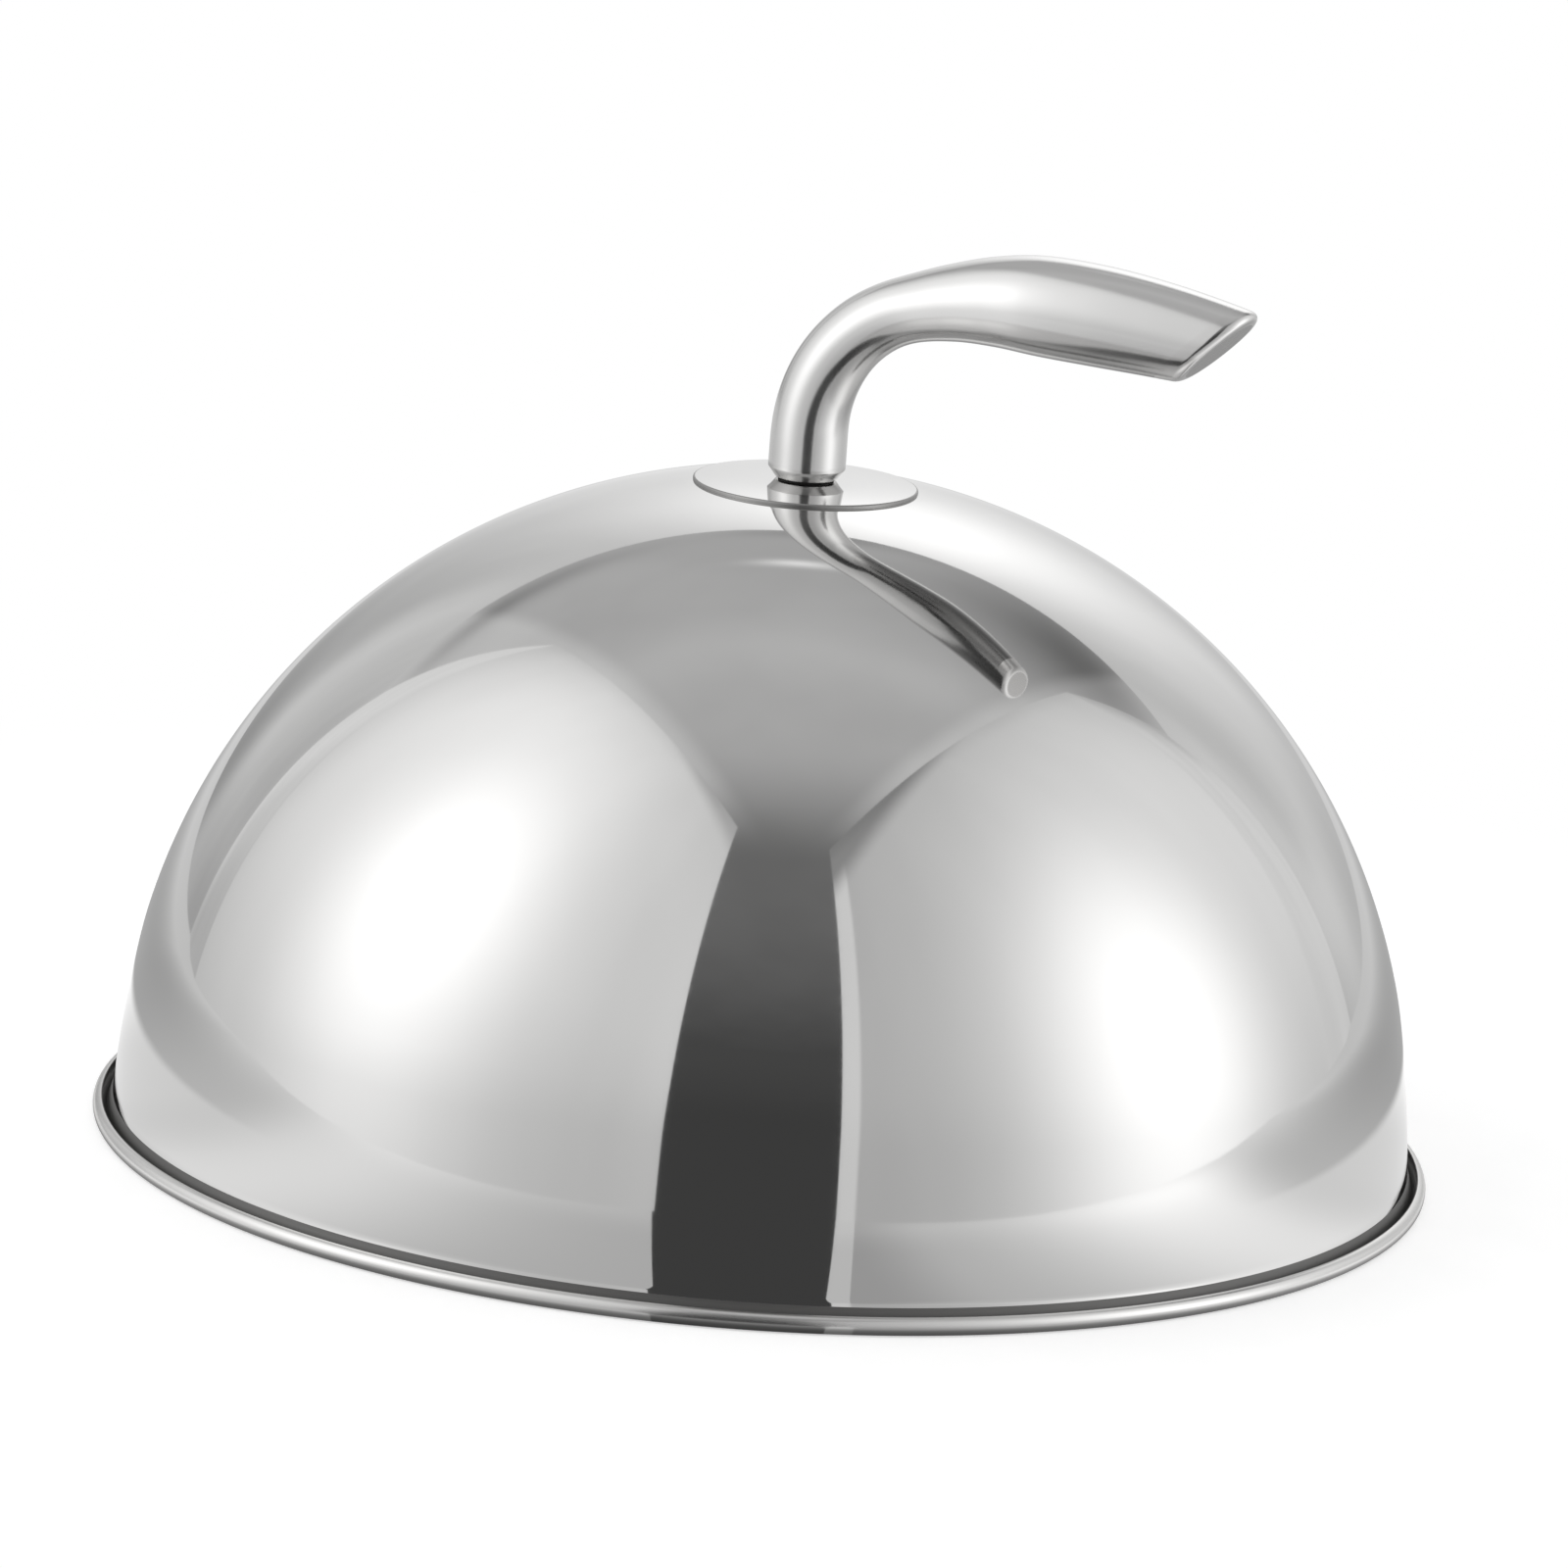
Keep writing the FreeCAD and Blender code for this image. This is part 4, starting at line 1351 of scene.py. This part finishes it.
@dataclass
class Floor(Stagehand):
    """The pale floor: how it looks to the camera, and how bright the steel mirrors it.

    Levels that change round the cover go by the angle from the camera's side, in degrees.
    """

    reach: float = 9.0
    sides: int = 96
    white: Ramp = Ramp(0.2, 0.8, 0.81, 0.83)
    speckle_scale: float = 60.0
    speckle_detail: float = 3.0
    lift: float = 0.42
    shadow_end: Ramp = Ramp(0.24, 0.42, 0.0, 1.0)
    inside_radius: float = 140.0 * MM
    front_level: Ramp = Ramp(-10.0, 10.0, 0.58, 0.44)
    front_end: Ramp = Ramp(14.0, 28.0, 0.0, 1.0)
    plain_level: float = 0.585
    far_gain: Ramp = Ramp(0.35, 0.80, 0.0, 0.08)
    side_glow: Patch = Patch(63.0, 0.0, 17.0, 1.0e6, 0.44)
    right_glow: Patch = Patch(71.0, 0.55, 15.0, 0.22, 0.42)
    table_ahead: float = 0.11
    table_end: Ramp = Ramp(0.271, 0.295, 1.0, 0.0)
    table_level: Ramp = Ramp(104.0, 135.0, 0.86, 1.16)
    beyond_level: Ramp = Ramp(85.0, 125.0, 0.66, 0.44)
    beyond_gain: Ramp = Ramp(0.30, 0.90, 0.0, 0.28)
    turn_aside: Ramp = Ramp(70.0, 92.0, 0.0, 1.0)
    gap_left: Line = Line(-0.318, 0.027)
    gap_right: Line = Line(0.25, -0.0208)
    hem_right: Line = Line(0.31, -0.0235)
    hem_gain: float = 0.24
    gap_level: Ramp = Ramp(0.158, 0.170, 0.26, ROOM_LEVEL)
    # Painted shadow: the floor as the steel mirrors it darkens close under the rim.
    under_rim: Ramp = Ramp(0.1485, 0.156, 0.22, 1.0)

    def lay(self) -> None:
        """Lay the floor: white to the camera, with the cover's soft shadow.

        Under the cover it lets light through, so that the inside can be seen from below.
        """
        material, graph = new_material("pale_floor")
        right = self.measured(graph, self.camera.right())
        ahead = self.measured(graph, -self.camera.away())
        radius = graph.vectors("LENGTH", graph.joined(X=right, Y=ahead))
        rays = graph.add("ShaderNodeLightPath").outputs
        speckle = graph.noise(graph.place(), self.speckle_scale, self.speckle_detail)
        diffuse = graph.add("ShaderNodeBsdfDiffuse")
        graph.link(graph.ramp(speckle, self.white), diffuse.inputs["Color"])
        pale = diffuse.outputs[0]
        near = graph.add("ShaderNodeAddShader")
        graph.link(pale, near.inputs[0])
        graph.link(graph.glow(self.lift, "lift to white"), near.inputs[1])
        plain = graph.glow(1.0, "plain white")
        seen = graph.mixed(graph.ramp(radius, self.shadow_end), near.outputs[0], plain)
        level = self.mirrored(graph, right, ahead, radius)
        by_steel = graph.mixed(
            rays["Is Glossy Ray"], pale, graph.glow(level, "as the steel mirrors it")
        )
        by_camera = graph.mixed(rays["Is Camera Ray"], by_steel, seen)
        side = graph.add("ShaderNodeNewGeometry").outputs["Backfacing"]
        under_cover = graph.maths("LESS_THAN", radius, self.inside_radius)
        from_below = graph.maths("MULTIPLY", side, rays["Is Camera Ray"])
        let_through = graph.maths("MAXIMUM", from_below, under_cover)
        clear = graph.add("ShaderNodeBsdfTransparent").outputs[0]
        graph.surface(graph.mixed(let_through, by_camera, clear))
        mesh = bmesh.new()
        bmesh.ops.create_circle(mesh, cap_ends=True, segments=self.sides, radius=self.reach)
        self.stage_object("floor", mesh, material)

    def mirrored(self, graph: Graph, right: Socket, ahead: Socket, radius: Socket) -> Socket:
        """Give how bright the steel mirrors the floor.

        The floor is bright close round the sides and back of the cover and plainer beyond, dark
        where it faces the opening between the cloths, and darkest under the rim itself, as a
        painted shadow.

        Args:
            graph: the graph of the floor's material.
            right: the place to the right of the cover, from the camera's side.
            ahead: the place towards the camera.
            radius: the distance from the cover's axis.

        Returns:
            The mirrored level.
        """
        angle = graph.maths("DEGREES", graph.maths("ARCTAN2", right, ahead))
        turned = graph.maths("ABSOLUTE", angle)
        front_end = graph.ramp(turned, self.front_end)
        front = graph.blended(front_end, graph.ramp(angle, self.front_level), self.plain_level)
        front = graph.maths("ADD", front, graph.ramp(radius, self.far_gain))
        front = graph.patched(front, turned, radius, (self.side_glow,))
        front = graph.patched(front, angle, radius, (self.right_glow,))
        shifted = graph.maths("ADD", ahead, -self.table_ahead)
        from_table = graph.vectors("LENGTH", graph.joined(X=right, Y=shifted))
        beyond = graph.ramp(turned, self.beyond_level)
        beyond = graph.maths("ADD", beyond, graph.ramp(radius, self.beyond_gain))
        on_table = graph.ramp(from_table, self.table_end)
        aside = graph.blended(on_table, beyond, graph.ramp(turned, self.table_level))
        level = graph.blended(graph.ramp(turned, self.turn_aside), front, aside)
        in_hem = self.between(graph, right, ahead, self.gap_right, self.hem_right)
        level = graph.maths("MULTIPLY_ADD", in_hem, self.hem_gain, level)
        in_gap = self.between(graph, right, ahead, self.gap_left, self.gap_right)
        level = graph.blended(in_gap, level, graph.ramp(radius, self.gap_level))
        return graph.maths("MULTIPLY", level, graph.ramp(radius, self.under_rim))

    def between(
        self, graph: Graph, right: Socket, ahead: Socket, left_line: Line, right_line: Line
    ) -> Socket:
        """Give one between two lines on the floor before the cover, and nought elsewhere."""
        left_edge, right_edge = (
            graph.maths("MULTIPLY_ADD", ahead, line.rise, line.start)
            for line in (left_line, right_line)
        )
        past_left = graph.maths("GREATER_THAN", right, left_edge)
        inside = graph.maths("MULTIPLY", past_left, graph.maths("LESS_THAN", right, right_edge))
        return graph.maths("MULTIPLY", inside, graph.maths("GREATER_THAN", ahead, 0.0))


@dataclass
class Tent(Stagehand):
    """The cloths, the ceiling and the dark room behind the opening, unseen by the camera."""

    height: float = 1.53
    reach: float = 3.5
    room_depth: float = 3.4
    room_rise: Ramp = Ramp(0.6, 1.53, ROOM_LEVEL, 1.3 * ROOM_LEVEL)
    near_ceiling: Ramp = Ramp(-1.02, -0.22, 0.0, 0.345)
    far_ceiling: Ramp = Ramp(-3.6, -0.6, 0.082, 0.20)
    mottle_scale: float = 2.2
    mottle: Ramp = Ramp(0.25, 0.75, 0.965, 1.035)
    fold_stretch: tuple[float, float, float] = (1.0, 1.0, 0.35)
    fold_scale: float = 3.0
    cloth_detail: float = 2.0
    folds: Ramp = Ramp(0.2, 0.8, 0.96, 1.04)
    foot_height: float = 0.4
    hem_sharpness: float = 0.8
    turn_over: float = 0.10
    top_fade: float = 0.15
    top_loss: float = 0.05
    beside_cloth: float = 0.11
    beside_gain: float = 0.15
    beside_start: Ramp = Ramp(-0.95, -0.45, 0.0, 1.0)
    cloths: tuple[Cloth, ...] = (
        Cloth(
            "left_cloth", front_foot=(-0.258, -0.916), rear_foot=(-0.93, 0.514),
            rear_top=(-0.87, 0.63), front_top=(-0.20, -0.80), level=0.715, low_level=0.62,
            patches=(
                Patch(0.98, 0.80, 0.46, 0.55, 0.47),
                Patch(0.76, 0.33, 0.17, 0.25, 0.75),
                Patch(0.05, 0.40, 0.08, 0.50, 0.07),
            ),
            fade=Line(0.43, 1.30), turned_level=0.58,
        ),
        Cloth(
            "left_wing", front_foot=(-0.93, 0.514), rear_foot=(-2.06, 1.76),
            rear_top=(-2.06, 1.76), front_top=(-0.87, 0.63), level=0.93, low_level=0.61,
            patches=(Patch(0.60, 0.35, 1.00, 0.20, -0.17),),
        ),
        Cloth(
            "right_cloth", front_foot=(0.268, -1.152), rear_foot=(1.09, 0.502),
            rear_top=(1.05, 0.74), front_top=(0.235, -0.90), level=0.53, low_level=0.50,
            patches=(
                Patch(1.58, 0.65, 0.75, 0.70, 0.45),
                Patch(1.02, 0.20, 0.22, 0.30, 0.90),
            ),
            hem_width=0.10, hem_gain=0.24, fade=Line(0.36, 1.17), turned_level=0.34,
        ),
        Cloth(
            "right_wing", front_foot=(1.09, 0.502), rear_foot=(1.79, 1.44),
            rear_top=(1.79, 1.44), front_top=(1.05, 0.74), level=0.88, low_level=0.80,
            patches=(Patch(0.50, 1.55, 0.90, 0.22, -0.28),),
        ),
        Cloth(
            "back_cloth", front_foot=(1.9, 1.39), rear_foot=(-2.06, 1.73),
            rear_top=(-2.06, 1.73), front_top=(1.9, 1.39), level=0.69, low_level=0.56,
            patches=(
                Patch(1.66, 1.08, 0.42, 0.45, 0.84),
                Patch(1.95, 0.00, 0.20, 0.20, 0.28),
                Patch(0.50, 0.15, 0.20, 0.20, 0.16),
                Patch(2.72, 0.15, 0.28, 0.55, -0.23),
                Patch(3.06, 0.60, 0.14, 0.70, 0.12),
                Patch(3.80, 0.40, 0.25, 0.60, -0.12),
                Patch(0.15, 0.90, 0.14, 0.60, 0.12),
            ),
        ),
    )
    ceiling_patches: tuple[Patch, ...] = (
        Patch(1.08, 1.12, 0.42, 0.38, -0.35),
        Patch(-1.20, 1.45, 0.42, 0.11, -0.21),
        Patch(0.05, 1.50, 0.20, 0.07, -0.14),
        Patch(0.00, 0.24, 0.80, 0.14, 0.07),
        Patch(0.00, 1.01, 0.09, 0.03, 0.50),
    )

    def hang(self, name: str, corners: tuple[Vector, ...], material: bpy.types.Material) -> None:
        """Hang one flat sheet by its four corners, unseen by the camera itself."""
        mesh = bmesh.new()
        grid = bmesh.ops.create_grid(mesh, x_segments=1, y_segments=1, size=1.0)["verts"]
        order = sorted(grid, key=lambda vert: math.atan2(vert.co.y, vert.co.x))
        for vert, corner in zip(order, corners):
            vert.co = corner
        self.stage_object(name, mesh, material).visible_camera = False

    def hang_cloth(self, cloth: Cloth) -> None:
        """Hang one cloth, with its glow, darker foot, folds, front hem and turned-over top."""
        material, graph = new_material(f"{cloth.name}_light")
        front, rear = Vector(cloth.front_top), Vector(cloth.rear_top)
        run = (rear - front).normalized()
        direction = self.place(run.x, run.y, 0.0)
        foot = self.place(*cloth.front_foot, 0.0)
        across = self.measured(graph, direction, foot.dot(direction))
        up = self.measured(graph, UP)
        level = graph.ramp(up, Ramp(0.0, self.foot_height, cloth.low_level, cloth.level))
        stretched = graph.mapped(graph.place(), self.fold_stretch)
        folds = graph.noise(stretched, self.fold_scale, self.cloth_detail)
        level = graph.maths("MULTIPLY", level, graph.ramp(folds, self.folds))
        level = graph.patched(level, across, up, cloth.patches)
        if cloth.hem_width:
            lean = (front - Vector(cloth.front_foot)).dot(run) / self.height
            from_edge = graph.maths("MULTIPLY_ADD", up, -lean, across)
            width = cloth.hem_width
            hem = Ramp(width * self.hem_sharpness, width, cloth.hem_gain, 0.0)
            level = graph.maths("ADD", level, graph.ramp(from_edge, hem))
        if cloth.fade:
            line = graph.maths("MULTIPLY_ADD", across, -cloth.fade.rise, up)
            start = cloth.fade.start
            share = graph.ramp(line, Ramp(start - self.turn_over, start + self.turn_over, 0.0, 1.0))
            level = graph.blended(share, level, cloth.turned_level)
            loss = Ramp(self.height - self.top_fade, self.height, 0.0, self.top_loss)
            level = graph.maths("SUBTRACT", level, graph.ramp(up, loss))
        corners = (
            foot,
            self.place(*cloth.rear_foot, 0.0),
            self.place(*cloth.rear_top, self.height),
            self.place(*cloth.front_top, self.height),
        )
        graph.surface(graph.glow(level))
        self.hang(cloth.name, corners, material)

    def hang_ceiling(self) -> None:
        """Hang the ceiling cloth, which darkens in front, where the opening's room begins."""
        material, graph = new_material("ceiling_light")
        right = self.measured(graph, self.camera.right())
        back = self.measured(graph, self.camera.away())
        near, far = graph.ramp(back, self.near_ceiling), graph.ramp(back, self.far_ceiling)
        level = graph.maths("ADD", near, far)
        level = graph.patched(level, right, back, self.ceiling_patches)
        for cloth in self.cloths:
            if cloth.fade:
                level = graph.maths("ADD", level, self.light_beside(graph, cloth))
        mottle = graph.noise(graph.place(), self.mottle_scale, self.cloth_detail)
        level = graph.maths("MULTIPLY", level, graph.ramp(mottle, self.mottle))
        level = graph.maths("MAXIMUM", level, ROOM_LEVEL)
        reach = self.reach
        corners = tuple(
            self.place(*ends, self.height)
            for ends in ((-reach, -reach), (reach, -reach), (reach, reach), (-reach, reach))
        )
        graph.surface(graph.glow(level))
        self.hang("ceiling_cloth", corners, material)

    def light_beside(self, graph: Graph, cloth: Cloth) -> Socket:
        """Give the light that a cloth throws on the ceiling close beside its top."""
        front, rear = Vector(cloth.front_top), Vector(cloth.rear_top)
        run = (rear - front).normalized()
        top = self.place(*front, 0.0)
        inwards = self.place(run.y, -run.x, 0.0)
        if inwards.dot(top) > 0.0:
            inwards = -inwards
        away = self.measured(graph, inwards, top.dot(inwards))
        light = graph.ramp(away, Ramp(0.0, self.beside_cloth, self.beside_gain, 0.0))
        back = self.measured(graph, self.camera.away())
        return graph.maths("MULTIPLY", light, graph.ramp(back, self.beside_start))

    def hang_room(self) -> None:
        """Hang the dark room that shows through the opening in front."""
        material, graph = new_material("room_light")
        graph.surface(graph.glow(graph.ramp(self.measured(graph, UP), self.room_rise)))
        reach, depth = self.reach, -self.room_depth
        corners = tuple(
            self.place(right, depth, height)
            for right, height in (
                (-reach, 0.0), (reach, 0.0), (reach, self.height), (-reach, self.height)
            )
        )
        self.hang("room", corners, material)

    def put_up(self) -> None:
        """Hang every cloth, then the ceiling and the room."""
        for cloth in self.cloths:
            self.hang_cloth(cloth)
        self.hang_ceiling()
        self.hang_room()


@dataclass
class Studio:
    """The white world, the floor and the light tent round the cover."""

    camera: Camera
    world_level: Ramp = Ramp(0.0, 1.0, 0.5, 1.0)

    def paint_world(self) -> None:
        """Make the world white to the camera and to mirrors, and pale to other rays."""
        world = bpy.data.worlds.new("white_studio")
        world.use_nodes = True
        world.node_tree.nodes.clear()
        graph = Graph(world.node_tree)
        rays = graph.add("ShaderNodeLightPath").outputs
        seen = graph.maths("MAXIMUM", rays["Is Camera Ray"], rays["Is Glossy Ray"])
        seen = graph.maths("MAXIMUM", seen, rays["Is Transmission Ray"])
        background = graph.add("ShaderNodeBackground")
        graph.link(graph.ramp(seen, self.world_level), background.inputs["Strength"])
        output = graph.add("ShaderNodeOutputWorld")
        graph.link(background.outputs[0], output.inputs["Surface"])
        bpy.context.scene.world = world

    def build(self) -> None:
        """Put up the whole studio."""
        self.paint_world()
        Floor(self.camera).lay()
        Tent(self.camera).put_up()


@dataclass
class FoodCover:
    """The whole cover: its dome, its plate, its handle and its fixings."""

    workshop: Workshop = field(default_factory=Workshop)

    def build(self) -> None:
        """Build every piece in order."""
        low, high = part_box("dome_shell")
        dome = DomeShell(rim_radius=min(-low.x, -low.y, high.x, high.y))
        dome.build(self.workshop)
        CrownPlate(dome).build(self.workshop)
        seal = FootSeal(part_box("foot_seal")[0].z)
        seal.build(self.workshop)
        post_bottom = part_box("handle_shell")[0].z
        path = HornPath(start_height=post_bottom)
        foot_bottom = seal.bottom + seal.thickness
        HandleFoot(foot_bottom, post_bottom, path.post_radii[0]).build(self.workshop)
        horn = Horn(path)
        horn.build_shell(self.workshop)
        horn.build_cap(self.workshop)
        self.workshop.keep("inner_seal", DARK_RUBBER_AND_FOOT_SHADE)
        for node in ("locating_pin", "load_washer", "spring_washer", "fixing_screw"):
            self.workshop.keep(node, FIXING_STEEL)


def main() -> None:
    """Build the cover, then its studio and camera."""
    logging.basicConfig(level=logging.INFO, format="%(name)s %(message)s")
    bpy.context.scene.view_settings.view_transform = "Standard"
    FoodCover().build()
    camera = Camera()
    camera.build()
    Studio(camera).build()


if __name__ == "__main__":
    main()
